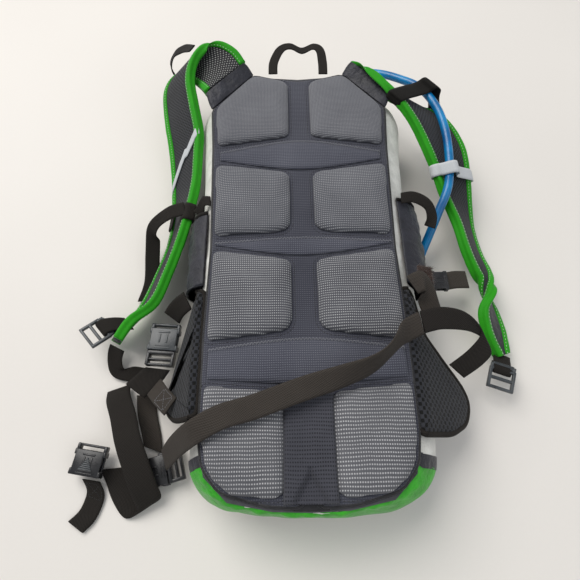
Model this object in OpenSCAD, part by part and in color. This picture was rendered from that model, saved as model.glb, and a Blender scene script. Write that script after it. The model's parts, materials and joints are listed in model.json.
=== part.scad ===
// Hydration pack lying on its front, back panel up.
// +X to the right, +Y towards the grab handle, +Z out of the back panel.
// The origin is the middle of the flat front pocket that the pack rests on.

/* [Bag] */
// Wall of the bag shell
shell_wall = 2; // [1.5:0.1:2.5]
// Height of the bag shell's rim above the floor
rim_z = 77; // [76:0.5:77.5]
// How far the bag bulges past the back panel at mid depth
bulge = 18; // [14:1:19]
// Depth of the front stuff pocket
front_pocket_depth = 13; // [10:0.5:13.5]

/* [Back panel] */
// Thickness of the stiff back sheet
frame_sheet = 2.6; // [2:0.1:2.8]
// Height of the foam pods above the knit base
pod_h = 8; // [6:0.5:9]
// Half the width of the air channel between the pods
channel_half = 10; // [8:1:14]

/* [Straps] */
// Thickness of the shoulder straps
strap_thick = 8; // [6:0.5:9]
// Radius of the bound edge
binding_r = 3; // [2:0.25:3.25]
// Thickness of webbing
web_thick = 1.5; // [1:0.1:1.8]
// Width of the adjuster and belt webbing
web_w = 20; // [18:1:20]
// Width of the wide hip webbing
hip_w = 25; // [22:1:25]

/* [Water] */
// Outside diameter of the drinking tube
tube_d = 9.5; // [9:0.25:9.75]
// Thickness of the full reservoir
reservoir_t = 26; // [20:1:28]

/* [Hidden] */
$fn = 32;

// Colours
charcoal = [0.24, 0.25, 0.30];
pod_grey = [0.50, 0.52, 0.56];
off_white = [0.90, 0.89, 0.86];
green = [0.24, 0.72, 0.16];
web_black = [0.14, 0.13, 0.12];
plastic_grey = [0.28, 0.30, 0.31];
tube_blue = [0.05, 0.45, 0.80];

// Right half of the back panel's outline, from the top centre down to the bottom centre
panel_half = [
    [0, 224], [34, 230], [53, 236], [98, 182], [94, 127], [89, 0], [91, -88],
    [90, -172], [86, -198], [72, -216], [36, -226], [8, -228]
];
// Depth of the notch in the panel's bottom edge
panel_notch = 14;
// Right half of the bag's outline
bag_half = [
    [0, 232], [36, 235], [58, 233], [86, 206], [99, 176], [95, 120], [91, 0],
    [93, -100], [92, -176], [86, -206], [66, -225], [30, -232], [0, -233]
];
// Bag rings: height, and share of the bulge
bag_rings = [[14, -0.8], [18, -0.25], [26, 0.35], [38, 0.9], [50, 1], [60, 0.8], [70, 0.4]];
// The bag leans this far to the right at mid depth
bag_lean = 4;

// Side pockets: reach from the bag's edge, length, foot and mid height
pocket_reach_r = 34;
pocket_reach_l = 26;
pocket_len_r = 98;
pocket_len_l = 84;
pocket_floor_y = -35;
pocket_mid_z = 43;
pocket_x = 96;

// Edge stations of the straps: the edge by the neck, then the edge by the shoulder
strap_l_edges = [
    [[-62, 247, 90], [-108, 205, 84]],
    [[-72, 259, 98], [-118, 226, 74]],
    [[-89, 267, 103], [-131, 243, 68]],
    [[-106, 262, 103], [-148, 262, 57]],
    [[-119, 247, 98], [-161, 258, 52]],
    [[-124, 224, 90], [-167, 240, 46]],
    [[-119, 194, 80], [-164, 205, 36]],
    [[-113, 164, 70], [-157, 168, 31]],
    [[-113.5, 134, 62], [-152, 132, 24]],
    [[-115, 98, 57], [-150, 99, 15]],
    [[-121, 62, 54], [-149, 72, 11]],
    [[-128, 28, 52], [-152, 40, 10]],
    [[-138, -9, 50], [-162, 3, 10]],
    [[-150, -42, 48], [-174, -32, 10]],
    [[-172, -60, 46], [-189, -54, 10]],
    [[-183, -78, 44], [-199, -72, 10]]
];
strap_r_edges = [
    [[62, 244, 90], [105, 200, 84]],
    [[77, 232, 96], [119, 200, 68]],
    [[94, 212, 95], [140, 196, 60]],
    [[111, 190, 88], [163, 197, 57]],
    [[128, 163, 79], [182, 182, 54]],
    [[141, 134, 69], [196, 150, 48]],
    [[151, 108, 60], [200, 118, 37]],
    [[159, 82, 52], [201, 85, 23]],
    [[171, 51, 44], [202, 60, 13]],
    [[177, 20, 39], [205, 28, 12]],
    [[185, -4, 32], [210, 0, 16]],
    [[197, -20, 18], [203, -26, 34]],
    [[208, -39, 11], [186, -49, 34]],
    [[213, -60, 10], [186, -70, 29]],
    [[214, -76, 10], [191, -84, 23]],
    [[213, -90, 11], [198, -96, 17]]
];

// Webbing stations: the two edges at each station
waist_edges = [
    [[97, -77, 103], [101, -96, 98]],
    [[82, -87, 107], [90, -100, 97]],
    [[74, -101, 111], [81, -104, 98]],
    [[64, -112, 113], [69, -115, 99]],
    [[50, -120, 112], [53, -128, 99]],
    [[26, -126, 108], [28, -139, 99]],
    [[-7, -133, 103], [-3, -150, 98]],
    [[-47, -146, 101], [-42, -164, 98.6]],
    [[-75, -153, 101], [-67, -172, 99]],
    [[-98, -165, 95], [-90, -182, 90]],
    [[-117, -173, 66], [-110, -190, 60]],
    [[-131, -182, 38], [-127, -198, 30]]
];
hip_web_r_edges = [
    [[129, -113, 64], [147, -126, 54]],
    [[148, -102, 68], [163, -114, 60]],
    [[161, -90, 72], [171, -103, 64]],
    [[157, -80, 80], [166, -92, 66]],
    [[141, -72, 90], [147, -88, 80]],
    [[119, -71, 98], [120, -90, 92]],
    [[98.5, -76, 102], [102, -95, 97]]
];
hip_loop_edges = [
    [[-199, -122, 4], [-181, -116, 5]],
    [[-198, -134, 11], [-176, -126, 12]],
    [[-190, -153, 20], [-163, -146, 20]],
    [[-181, -176, 26], [-153, -167, 27]],
    [[-170, -197, 25], [-145, -189, 26]],
    [[-162, -217, 19], [-138, -207, 21]],
    [[-156, -232, 9], [-135, -221, 12]],
    [[-166, -236, 2.5], [-151, -226, 3]],
    [[-180, -224, 2], [-160, -216, 2]],
    [[-190, -207, 2], [-168, -202, 2]],
    [[-198, -196, 2], [-174, -194, 2]]
];
hip_tail_edges = [
    [[-212, -204, 7], [-194, -207, 7]],
    [[-208, -213, 3], [-190, -218, 3]],
    [[-208, -222, 2], [-192, -228, 2]],
    [[-212, -232, 2], [-197, -240, 2]],
    [[-220, -240, 2], [-206, -249, 2]]
];
hip_tab_edges = [
    [[-118, -138, 53], [-130, -153, 46]],
    [[-130, -127, 44], [-143, -141, 38]],
    [[-139, -117, 36], [-152, -131, 31]]
];
adjuster_edges = [
    [[-202, -75, 17], [-186, -83, 15]],
    [[-205, -84, 13], [-188, -92, 11]],
    [[-204, -96, 8], [-187, -99, 7]],
    [[-197, -107, 4], [-184, -98, 5]],
    [[-182, -111, 2.4], [-176, -97, 4]],
    [[-164, -114, 2], [-160, -100, 3]]
];
hip_web_l_edges = [
    [[-172, -126, 2], [-152, -126, 2]],
    [[-169, -145, 2], [-149, -145, 2]],
    [[-163, -163, 2], [-143, -165, 2]],
    [[-158, -176, 3], [-140, -182, 3]]
];
side_strap_edges = [
    [[-157, -103.8, 30], [-133, -107, 30]],
    [[-165, -108, 25], [-145, -122, 25]],
    [[-178, -118, 20], [-158, -132, 20]]
];
side_tab_edges = [
    [[-118, -38, 62], [-110, -54, 60]],
    [[-131, -42, 52], [-120, -58, 48]],
    [[-141, -50, 40], [-126, -61, 38]]
];
sternum_l_edges = [
    [[-158, 68, 46], [-156, 50, 42]],
    [[-170, 58, 40], [-161, 44, 36]],
    [[-174, 44, 30], [-160, 42, 26]],
    [[-177, 26, 20], [-160, 27, 16]],
    [[-178, 0, 8], [-162, 3, 6]],
    [[-184, -22, 3], [-168, -20, 3]]
];
sternum_r_edges = [
    [[177, -2, 30], [179, -24, 29]],
    [[164, -3, 33], [165, -25, 31]],
    [[153.8, -6, 35], [153.6, -27, 33]]
];
compress_edges = [
    [[94, -38, 92], [104, -54, 88]],
    [[106, -34, 94], [110, -52, 90]],
    [[117, -40, 88], [106, -56, 86]],
    [[124, -55, 79], [106, -60, 80]],
    [[129, -68, 72], [111, -72, 75]]
];
pocket_loop_r_edges = [
    [[104, 65, 80], [104, 53, 77]],
    [[119, 68, 78], [117, 56, 74]],
    [[136, 63, 71], [131, 53, 67]],
    [[144, 50, 62], [135, 46, 60]],
    [[142, 36, 55], [134, 41, 53]]
];
pocket_loop_l_edges = [
    [[-95, 64, 80], [-94, 52, 78]],
    [[-104, 66, 76], [-101, 55, 74]],
    [[-110, 58, 70], [-103, 50, 68]],
    [[-113, 55, 64], [-108, 50, 63]]
];
handle_edges = [
    [[-35, 239, 82], [-24, 239, 82]],
    [[-34, 257, 84], [-23, 256, 84]],
    [[-25, 279, 86], [-15, 273, 86]],
    [[-9, 287, 86], [-7, 276, 86]],
    [[6, 284, 82], [6, 273, 82]],
    [[21, 286, 86], [19, 275, 86]],
    [[33, 277, 86], [23, 271, 86]],
    [[36, 256, 84], [25, 255, 84]],
    [[36, 238, 82], [25, 238, 82]]
];

// Route of the drinking tube, from the port in the bag's top to the bite valve
tube_route = [
    [51, 242.6, 56], [56.5, 252, 56.3], [64, 259, 56.8], [76, 264.6, 57.8], [90, 265.6, 59.6],
    [103, 261.8, 61.8], [115, 254.6, 64.6], [129, 242, 69], [142, 227, 74], [153, 208, 77],
    [163, 182, 76], [168, 155, 72],
    [169, 128, 67], [167, 103, 63], [161, 80, 61], [152, 60, 50], [144, 42, 38],
    [136, 24, 24], [127, 2, 12], [117, -20, 6], [108, -45, 5.5], [102, -75, 5.5],
    [99, -105, 5.5], [98, -130, 5.5], [98, -150, 5.5]
];
// Hose inside the bag, from the reservoir's foot to the port
inner_route = [
    [71.6, -153, 56], [87, -147, 56], [96, -130, 56], [99, -100, 56], [99, -30, 56],
    [98, 60, 56], [96, 120, 56], [84, 165, 56], [62, 200, 56], [46, 230.6, 56]
];
tube_sides = 8;

// How far the bands stand off the straps
band_gap = 1.1;
// Wing hinge, slope and length
wing_r_x = 96;
wing_l_x = 99;
wing_z = 81;
wing_t = 5;
wing_r_slope = 38;
wing_l_slope = 57;

// ---------- shape functions ----------

function unit(v) = v / norm(v);

function curve_point(a, b, c, d, t) =
    0.5 * (2 * b + (c - a) * t + (2 * a - 5 * b + 4 * c - d) * t * t
        + (3 * b - a - 3 * c + d) * t * t * t);

// A smooth line through the points p, with n steps between each two
function smooth_line(p, n) = [
    for (i = [0:len(p) - 2]) for (k = [0:n - 1])
        curve_point(p[max(i - 1, 0)], p[i], p[i + 1], p[min(i + 2, len(p) - 1)], k / n),
    p[len(p) - 1]
];

function column(m, k) = [for (r = m) r[k]];

function tangent(p, i) = unit(p[min(i + 1, len(p) - 1)] - p[max(i - 1, 0)]);

// A right half outline, mirrored and closed
function both_sides(half, notch = 0) = concat(
    half,
    notch > 0 ? [[0, half[len(half) - 1][1] + notch]] : [],
    [for (i = [len(half) - 1:-1:0]) if (half[i][0] > 0.01) [-half[i][0], half[i][1]]]
);

// Cross sections of a flat strip along its two edges
function strip_rings(edges, width, thick, steps, section, trim = 0) =
    let (
        a = smooth_line(column(edges, 0), steps),
        b = smooth_line(column(edges, 1), steps),
        c = (a + b) / 2
    )
    [for (i = [0:len(c) - 1])
        let (
            t = tangent(c, i),
            w = unit(b[i] - a[i]),
            n = unit(cross(t, w)),
            half = (width > 0 ? width : norm(b[i] - a[i]) - 2 * trim) / 2
        )
        [for (s = section) c[i] + w * half * s[0] + n * thick / 2 * s[1]]
    ];

flat_section = [[-1, -1], [1, -1], [1, 1], [-1, 1]];
pad_section = [
    [-1, -0.5], [-0.92, -1], [0.92, -1], [1, -0.5], [1, 0.5], [0.92, 1], [-0.92, 1], [-1, 0.5]
];

// A round tube's cross sections along a line
function tube_rings(p, r, sides) =
    [for (i = [0:len(p) - 1])
        let (
            t = tangent(p, i),
            side = unit(cross(t, abs(t[2]) > 0.9 ? [1, 0, 0] : [0, 0, 1])),
            up = cross(side, t)
        )
        [for (k = [0:sides - 1]) p[i] + r * (side * cos(-360 * k / sides) + up * sin(-360 * k / sides))]
    ];

// The solid through a row of cross sections
module skin(rings) {
    n = len(rings[0]);
    m = len(rings);
    polyhedron(
        [for (r = rings) each r],
        concat(
            [[for (i = [0:n - 1]) i], [for (i = [n - 1:-1:0]) (m - 1) * n + i]],
            [for (j = [0:m - 2]) for (i = [0:n - 1])
                [j * n + i, (j + 1) * n + i, (j + 1) * n + (i + 1) % n]],
            [for (j = [0:m - 2]) for (i = [0:n - 1])
                [j * n + i, (j + 1) * n + (i + 1) % n, j * n + (i + 1) % n]]
        )
    );
}

module webbing(edges, width, steps = 3) {
    skin(strip_rings(edges, width, web_thick, steps, flat_section));
}

module strap_pad(edges) {
    skin(strip_rings(edges, 0, strap_thick, 2, pad_section, 2 * binding_r + 0.6));
}

module strap_binding(edges) {
    pairs = [for (e = edges) let (w = unit(e[1] - e[0])) [e[0] + w * binding_r, e[1] - w * binding_r]];
    for (k = [0, 1]) skin(tube_rings(smooth_line(column(pairs, k), 2), binding_r, 6));
}

// A band round a strap at station k, held off its faces by gap, open at the back.
// It goes over the tube where there is one
module strap_band(edges, k, width, gap, over = []) {
    e = edges[k];
    t = tangent([for (x = edges) (x[0] + x[1]) / 2], k);
    w = unit(e[1] - e[0]);
    n = unit(cross(t, w));
    h = strap_thick / 2 + gap + web_thick / 2;
    g = gap + web_thick / 2;
    r = tube_d / 2 + gap + web_thick;
    peak = len(over) > 0
        ? [over - w * (r + 3) - n * 3, over - w * r * 0.6 + n * r * 0.75, over + n * r,
            over + w * r * 0.6 + n * r * 0.75, over + w * (r + 3) - n * 3]
        : [(e[0] + e[1]) / 2 + n * h];
    line = concat(
        [e[0] + w * 12 - n * h, e[0] + w - n * h, e[0] - w * g, e[0] + w + n * h],
        peak,
        [e[1] - w + n * h, e[1] + w * g, e[1] - w - n * h, e[1] - w * 12 - n * h]
    );
    edges2 = [for (p = line) [p - t * width / 2, p + t * width / 2]];
    skin(strip_rings(edges2, width, web_thick, 2, flat_section));
}

// ---------- the bag ----------

// One level of the bag: it bulges less at the foot than at the top
function bag_outline(share, inset) =
    let (p = smooth_line(bag_half, 2), b = bulge * share - inset, lean = bag_lean * max(share, 0))
    [for (q = both_sides(p)) [q[0] * (1 + b / 94) + lean, q[1] * (1 + b / (q[1] < 0 ? 1100 : 400))]];

function bag_skin(z_low, inset, z_top) = concat(
    [[for (q = bag_outline(bag_rings[0][1], inset)) [q[0], q[1], z_low]]],
    [for (i = [1:len(bag_rings) - 1])
        [for (q = bag_outline(bag_rings[i][1], inset)) [q[0], q[1], bag_rings[i][0]]]],
    [[for (q = bag_outline(0, inset)) [q[0], q[1], z_top]]]
);

// Outlines run clockwise seen from above, so the rings are turned round for the skin
function turned(rings) = [for (r = rings) [for (i = [len(r) - 1:-1:0]) r[i]]];

module body_shell() {
    color(off_white)
    difference() {
        skin(turned(bag_skin(bag_rings[0][0], 0, rim_z)));
        skin(turned(bag_skin(bag_rings[0][0] + shell_wall, shell_wall, rim_z + 1)));
        at_port() cylinder(h = 40, r = tube_d / 2 + 3.4, center = true);
    }
}

module front_plan() {
    hull() {
        for (x = [-1, 1]) {
            translate([x * 52, 96]) circle(r = 20);
            translate([x * 46, -168]) circle(r = 28);
        }
    }
}

module front_pocket() {
    color(charcoal)
    difference() {
        union() {
            linear_extrude(front_pocket_depth) front_plan();
        }
        translate([0, 0, shell_wall])
            linear_extrude(front_pocket_depth) offset(-shell_wall) front_plan();
        translate([0, 114, front_pocket_depth - 3]) cube([84, 10, 7], center = true);
    }
}

module front_zip() {
    color(web_black)
    translate([-42, 118, 3.2]) cube([84, 1.6, 6]);
}

module front_slider() {
    color(plastic_grey)
    translate([-30, 121.6, 6.2]) {
        cube([11, 3, 5.6], center = true);
        translate([14, 0.2, 0]) cube([20, 1.6, 4], center = true);
    }
}

// The main zip runs over the top of the bag, between the two side pockets
zip_low = 23;
zip_high = 31;

function share_at(z) = bag_rings[2][1] - (bag_rings[2][1] - bag_rings[1][1]) * (26 - z) / 8;
function share_over(z) = bag_rings[2][1] + (bag_rings[3][1] - bag_rings[2][1]) * (z - 26) / 12;
function top_end(o, z) = [for (q = o) if (q[1] > 78 && q[0] < 0) [q[0], q[1], z]];
function top_start(o, z) = [for (q = o) if (q[1] > 78 && q[0] >= 0) [q[0], q[1], z]];
function over_top(share, z) =
    let (o = bag_outline(share, -2.7)) concat(top_end(o, z), top_start(o, z));

module main_zip() {
    low = over_top(share_at(zip_low), zip_low);
    high = over_top(share_over(zip_high), zip_high);
    edges = [for (i = [0:len(low) - 1]) [low[i], high[i]]];
    color(web_black) skin(strip_rings(edges, 8, 1.4, 1, flat_section));
}

module main_slider() {
    color(plastic_grey)
    translate([106, 128, 27])
        rotate([0, 52, 3])
            translate([3.1, 0, 0]) {
                cube([2.6, 12, 9], center = true);
                translate([1.4, -15, 0]) cube([1.6, 22, 5], center = true);
            }
}

// ---------- back panel ----------

frame_z = rim_z + 0.3;
base_z = frame_z + frame_sheet + 0.3;
base_h = 3.5;
pod_z = base_z + base_h + 0.3;

module back_frame() {
    color(charcoal)
    translate([0, 0, frame_z])
        linear_extrude(frame_sheet) offset(-1) polygon(both_sides(bag_half));
}

module panel_base() {
    color(charcoal)
    translate([0, 0, base_z])
        linear_extrude(base_h) polygon(both_sides(panel_half, panel_notch));
}

// A foam pod: a plan with rounded corners and a smaller top
module pod(plan, corner) {
    translate([0, 0, pod_z]) {
        linear_extrude(pod_h * 0.6) offset(corner) offset(-corner) polygon(plan);
        linear_extrude(pod_h) offset(corner - 3) offset(-corner) polygon(plan);
    }
}

module pod_pair(plan, corner) {
    color(pod_grey)
    for (s = [0, 1]) mirror([s, 0, 0]) pod(plan, corner);
}

module pods_row_1() {
    pod_pair([[channel_half, 136], [92, 123], [96, 181], [53, 234], [34, 228], [channel_half, 223]], 5);
}

module pods_row_2() {
    pod_pair([[channel_half, 15], [89, 10], [92, 102], [channel_half, 90]], 5);
}

module pods_row_3() {
    pod_pair([[channel_half, -88], [91, -98], [89, -2], [channel_half, -13]], 5);
}

module pods_row_4() {
    pod_pair([[19, -224], [64, -222], [85, -202], [90, -172], [91, -132], [19, -139]], 6);
}

module lens(y_top, y_top_side, y_low, y_low_side) {
    top = smooth_line([[-86, y_top_side], [0, y_top], [86, y_top_side]], 6);
    low = smooth_line([[86, y_low_side], [0, y_low], [-86, y_low_side]], 6);
    translate([0, 0, pod_z]) linear_extrude(2.4) polygon(concat(top, low));
}

module stretch_panels() {
    color(charcoal) {
        lens(132, 117, 93, 106);
        lens(10, 5, -10, 2);
        lens(-93, -102, -134, -129);
    }
}

module yokes() {
    color(charcoal)
    for (s = [0, 1]) mirror([s, 0, 0])
        translate([0, 0, frame_z + frame_sheet + 0.3])
            linear_extrude(3.4)
                polygon([[56.5, 236.5], [101.5, 182.5], [104.6, 187], [101.5, 193], [63, 239]]);
}

module grab_handle() {
    color(web_black) webbing(handle_edges, 11, 4);
}

// ---------- bottom and sides ----------

// The upright wall that covers part of the bag's bulge, from one outline point to another
module wall(points, z_low, high, thick) {
    inner = [for (q = points) [q[0], q[1]]];
    outer = [for (q = points) let (n = unit(q)) [q[0] + n[0] * thick, q[1] + n[1] * thick]];
    translate([0, 0, z_low])
        linear_extrude(high)
            polygon(concat(outer, [for (i = [len(inner) - 1:-1:0]) inner[i]]));
}

wall_gap = 0.6;

module bottom_band() {
    color(green)
    wall([for (q = bag_outline(1, -wall_gap)) if (q[1] < -209) q], 34, 30, 1.4);
}

module corner_patches() {
    points = [for (q = bag_outline(1, -wall_gap)) if (q[1] < -130 && q[1] > -209) q];
    color(charcoal)
    for (side = [-1, 1])
        wall([for (q = points) if (q[0] * side > 0) q], 36, 20, 1.4);
}

// Half an ellipse, as points from the lower end to the upper end
function half_ellipse(reach, high, last = 84) =
    [for (a = [-last:last / 10.5:last + 0.1]) [reach * cos(a), high * sin(a)]];

// The plan between two half ellipses
module crescent(outer, inner) {
    polygon(concat(outer, [for (i = [len(inner) - 1:-1:0]) inner[i]]));
}

// A side pocket: a sleeve over the bag's side, with a floor, open towards the top of the pack
module side_pocket(side, reach, long) {
    color(charcoal)
    translate([side * pocket_x + 1, pocket_floor_y, pocket_mid_z])
        mirror([side < 0 ? 1 : 0, 0, 0])
            rotate([-90, 0, 0]) {
                linear_extrude(long)
                    crescent(half_ellipse(reach, 30), half_ellipse(reach - 2, 28));
                linear_extrude(2)
                    crescent(half_ellipse(reach - 1, 28.6, 63), half_ellipse(reach - 9, 26, 63));
            }
}

module pocket_l() {
    side_pocket(-1, pocket_reach_l, pocket_len_l);
}

module pocket_r() {
    side_pocket(1, pocket_reach_r, pocket_len_r);
}

module pocket_loop_l() {
    color(web_black) webbing(pocket_loop_l_edges, 11);
}

module pocket_loop_r() {
    color(web_black) webbing(pocket_loop_r_edges, 12);
}

// ---------- water ----------

module reservoir() {
    color(tube_blue)
    translate([0, 0, 74 - reservoir_t])
        linear_extrude(reservoir_t)
            hull() {
                for (x = [-1, 1]) {
                    translate([x * 42, 150]) circle(r = 26);
                    translate([x * 44, -150]) circle(r = 26);
                }
            }
}

collar_y = 120;
collar_r = 38;

module fill_collar() {
    color(off_white)
    translate([0, collar_y, 74 - reservoir_t - 12.2])
        difference() {
            cylinder(h = 12, r = collar_r);
            translate([0, 0, -1]) cylinder(h = 14, r = collar_r - 3);
        }
}

module reservoir_cap() {
    color(tube_blue)
    translate([0, collar_y, 74 - reservoir_t - 20.5]) {
        cylinder(h = 8, r = collar_r + 4);
        translate([0, 0, -4]) cube([60, 7, 8.2], center = true);
    }
}

module inner_hose() {
    color(tube_blue) skin(tube_rings(smooth_line(inner_route, 2), tube_d / 2, tube_sides));
}

// The port in the bag's top wall, turned towards the right strap
port_turn = 65;

module at_port() {
    translate([50, 240.6, 56]) rotate([0, 0, port_turn]) rotate([0, 90, 0]) children();
}

module tube_port() {
    color(web_black)
    at_port()
        difference() {
            cylinder(h = 14, r = tube_d / 2 + 2.8, center = true);
            cylinder(h = 15, r = tube_d / 2 + 0.4, center = true);
        }
}

module drink_tube() {
    color(tube_blue) skin(tube_rings(smooth_line(tube_route, 2), tube_d / 2, tube_sides));
}

// Bite valve on the tube's end, with a shut-off elbow body and a soft mouthpiece
valve_at = tube_route[len(tube_route) - 1];
valve_turn = atan2(valve_at[1] - tube_route[len(tube_route) - 2][1],
    valve_at[0] - tube_route[len(tube_route) - 2][0]);

module on_valve() {
    translate(valve_at) rotate([0, 0, valve_turn]) translate([0.3, 0, 1.5]) children();
}

module bite_valve() {
    color(tube_blue)
    on_valve() {
        rotate([0, 90, 0]) cylinder(h = 26, r = 6.4);
        translate([26, 0, 0]) rotate([0, 90, 0]) cylinder(h = 5, r = 5);
        translate([45, 0, 0]) cube([28, 16, 9], center = true);
    }
}

module valve_lever() {
    color(plastic_grey)
    on_valve() {
        translate([13, 0, 6.8]) cylinder(h = 2.6, r = 6);
        translate([13, -2.5, 6.8]) cube([20, 5, 2.6]);
    }
}

// ---------- straps ----------

module strap_l() {
    color(charcoal) strap_pad(strap_l_edges);
}

module strap_r() {
    color(charcoal) strap_pad(strap_r_edges);
}

module binding_l() {
    color(green) strap_binding(strap_l_edges);
}

module binding_r() {
    color(green) strap_binding(strap_r_edges);
}

module load_loop_l() {
    color(web_black)
    webbing([
        [[-122, 268, 99], [-128, 258, 98]],
        [[-137, 284, 88], [-142, 274, 84]],
        [[-153, 292, 74], [-156, 281, 71]],
        [[-162, 286, 62], [-160, 276, 58]],
        [[-158, 275, 55], [-154, 268, 51]]
    ], 12);
}

module reflector_l() {
    color(off_white) strap_band(strap_l_edges, 8, 9, band_gap);
}

module reflector_r() {
    color(off_white) strap_band(strap_r_edges, 6, 14, band_gap, [169, 106.5, 66]);
}

module tube_keeper() {
    color(web_black) strap_band(strap_r_edges, 3, 20, band_gap, [153.8, 211.4, 82.2]);
}

module sternum_loop_l() {
    color(web_black) strap_band(strap_l_edges, 10, 20, band_gap);
}

module sternum_web_l() {
    color(web_black) webbing(sternum_l_edges, 16);
}

module sternum_web_r() {
    color(web_black) webbing(sternum_r_edges, 20);
}

// Two-slot ladder lock, 24 wide, webbing runs along X
module ladder_lock() {
    difference() {
        cube([22, 26, 4], center = true);
        translate([5, 0, 0]) cube([4, 21, 6], center = true);
        translate([-5, 0, 0]) cube([4, 21, 6], center = true);
    }
    translate([13, 0, 1]) cube([5, 20, 2], center = true);
}

module ladder_l() {
    color(plastic_grey)
    translate([-215, -66, 25]) rotate([0, 0, 42]) rotate([0, 12, 0]) ladder_lock();
}

module ladder_r() {
    color(plastic_grey)
    translate([197, -119, 19]) rotate([0, 0, 70]) rotate([0, -4, 0]) ladder_lock();
}

// ---------- buckles ----------

// Side-release buckle along X: the socket half
module buckle_socket() {
    difference() {
        cube([28, 30, 10], center = true);
        translate([-6, 0, 0]) cube([20, 24, 6], center = true);
        translate([-2, 0, 0]) cube([8, 40, 6], center = true);
        translate([9.5, 0, 0]) cube([4, 22, 20], center = true);
    }
}

// The plug half, whose two prongs and guide lie in the socket
module buckle_plug() {
    difference() {
        translate([-22, 0, 0]) cube([15, 28, 9], center = true);
        translate([-25.5, 0, 0]) cube([3, 21, 12], center = true);
        translate([-20, 0, 0]) cube([3, 21, 12], center = true);
    }
    for (s = [-1, 1]) translate([-7, s * 9.5, 0]) cube([16, 3.6, 5], center = true);
    translate([-8, 0, 0]) cube([14, 3, 4], center = true);
}

module at_side_buckle() {
    translate([-141, -74, 31]) rotate([0, 0, 85]) children();
}

module side_buckle_f() {
    color(plastic_grey) at_side_buckle() buckle_socket();
}

module side_buckle_m() {
    color(web_black) at_side_buckle() buckle_plug();
}

module at_waist_buckle() {
    translate([-146, -200, 8]) rotate([0, 0, 196]) children();
}

module waist_buckle_f() {
    color(web_black) at_waist_buckle() buckle_socket();
}

module waist_buckle_m() {
    color(web_black) at_waist_buckle() buckle_plug();
}

module hip_buckle_l() {
    color(plastic_grey)
    translate([-205, -188, 13]) rotate([0, 0, 80]) buckle_socket();
}

module sternum_buckle_r() {
    color(web_black)
    translate([143, -18, 37]) rotate([0, 0, 180]) scale(0.72) buckle_socket();
}

// ---------- hip wings and webbing ----------

module wing_plate(slope, low, side) {
    translate([side < 0 ? -wing_l_x : wing_r_x, 0, wing_z])
        mirror([side < 0 ? 1 : 0, 0, 0])
            rotate([0, slope, 0])
                translate([0, 0, -wing_t])
                    linear_extrude(wing_t)
                        offset(3) offset(-3)
                            polygon([
                                [2, -46], [10, -46], [16, -84], [46, -112], [70, -132],
                                [76, low + 30], [66, low + 12], [40, low + 2], [2, low]
                            ]);
}

module wing_l() {
    color(charcoal) wing_plate(wing_l_slope, -160, -1);
}

module wing_r() {
    color(charcoal) wing_plate(wing_r_slope, -176, 1);
}

module hip_web_r() { color(web_black) webbing(hip_web_r_edges, web_w, 4); }
module waist_web() { color(web_black) webbing(waist_edges, web_w, 3); }
module hip_web_l() { color(web_black) webbing(hip_web_l_edges, web_w, 2); }
module hip_tab_l() { color(web_black) webbing(hip_tab_edges, web_w, 2); }
module adjuster_l() { color(web_black) webbing(adjuster_edges, 17, 3); }
module side_strap_l() { color(web_black) webbing(side_strap_edges, hip_w, 2); }
module side_tab_l() { color(web_black) webbing(side_tab_edges, web_w, 2); }
module compress_web_r() { color(web_black) webbing(compress_edges, web_w, 3); }

module hip_loop_l() {
    color(web_black) {
        webbing(hip_loop_edges, hip_w, 3);
        webbing(hip_tail_edges, 18, 2);
    }
}

body_shell();
front_pocket();
front_zip();
front_slider();
main_zip();
main_slider();
back_frame();
panel_base();
pods_row_1();
pods_row_2();
pods_row_3();
pods_row_4();
stretch_panels();
bottom_band();
corner_patches();
pocket_l();
pocket_r();
pocket_loop_l();
pocket_loop_r();
yokes();
grab_handle();
reservoir();
fill_collar();
reservoir_cap();
inner_hose();
tube_port();
strap_l();
binding_l();
load_loop_l();
reflector_l();
sternum_loop_l();
sternum_web_l();
ladder_l();
strap_r();
binding_r();
tube_keeper();
reflector_r();
sternum_web_r();
sternum_buckle_r();
ladder_r();
drink_tube();
bite_valve();
valve_lever();
wing_l();
side_tab_l();
side_buckle_f();
side_buckle_m();
side_strap_l();
hip_tab_l();
wing_r();
hip_web_r();
waist_web();
waist_buckle_f();
waist_buckle_m();
hip_web_l();
hip_loop_l();
hip_buckle_l();
adjuster_l();
compress_web_r();
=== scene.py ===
import json
import math

import bmesh
import bpy
import numpy as np
from mathutils import Matrix, Vector, noise


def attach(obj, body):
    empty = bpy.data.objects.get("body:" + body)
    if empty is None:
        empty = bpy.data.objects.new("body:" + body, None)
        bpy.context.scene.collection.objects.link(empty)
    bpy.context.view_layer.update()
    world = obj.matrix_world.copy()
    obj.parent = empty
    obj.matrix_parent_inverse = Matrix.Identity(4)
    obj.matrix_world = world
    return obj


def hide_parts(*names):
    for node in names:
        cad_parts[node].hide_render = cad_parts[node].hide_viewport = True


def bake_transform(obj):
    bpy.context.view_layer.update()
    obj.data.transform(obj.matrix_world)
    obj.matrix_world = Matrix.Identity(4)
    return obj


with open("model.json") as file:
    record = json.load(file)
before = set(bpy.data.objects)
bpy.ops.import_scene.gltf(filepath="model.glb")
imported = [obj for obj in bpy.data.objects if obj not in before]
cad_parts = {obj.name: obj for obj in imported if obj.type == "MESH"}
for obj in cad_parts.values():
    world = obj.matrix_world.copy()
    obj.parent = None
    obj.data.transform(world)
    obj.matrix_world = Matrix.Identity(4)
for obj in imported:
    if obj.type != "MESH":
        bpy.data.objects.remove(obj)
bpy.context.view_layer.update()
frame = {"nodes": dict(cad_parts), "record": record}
scene = bpy.context.scene
scene.view_settings.view_transform = "Standard"
scene.view_settings.look = "None"

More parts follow.
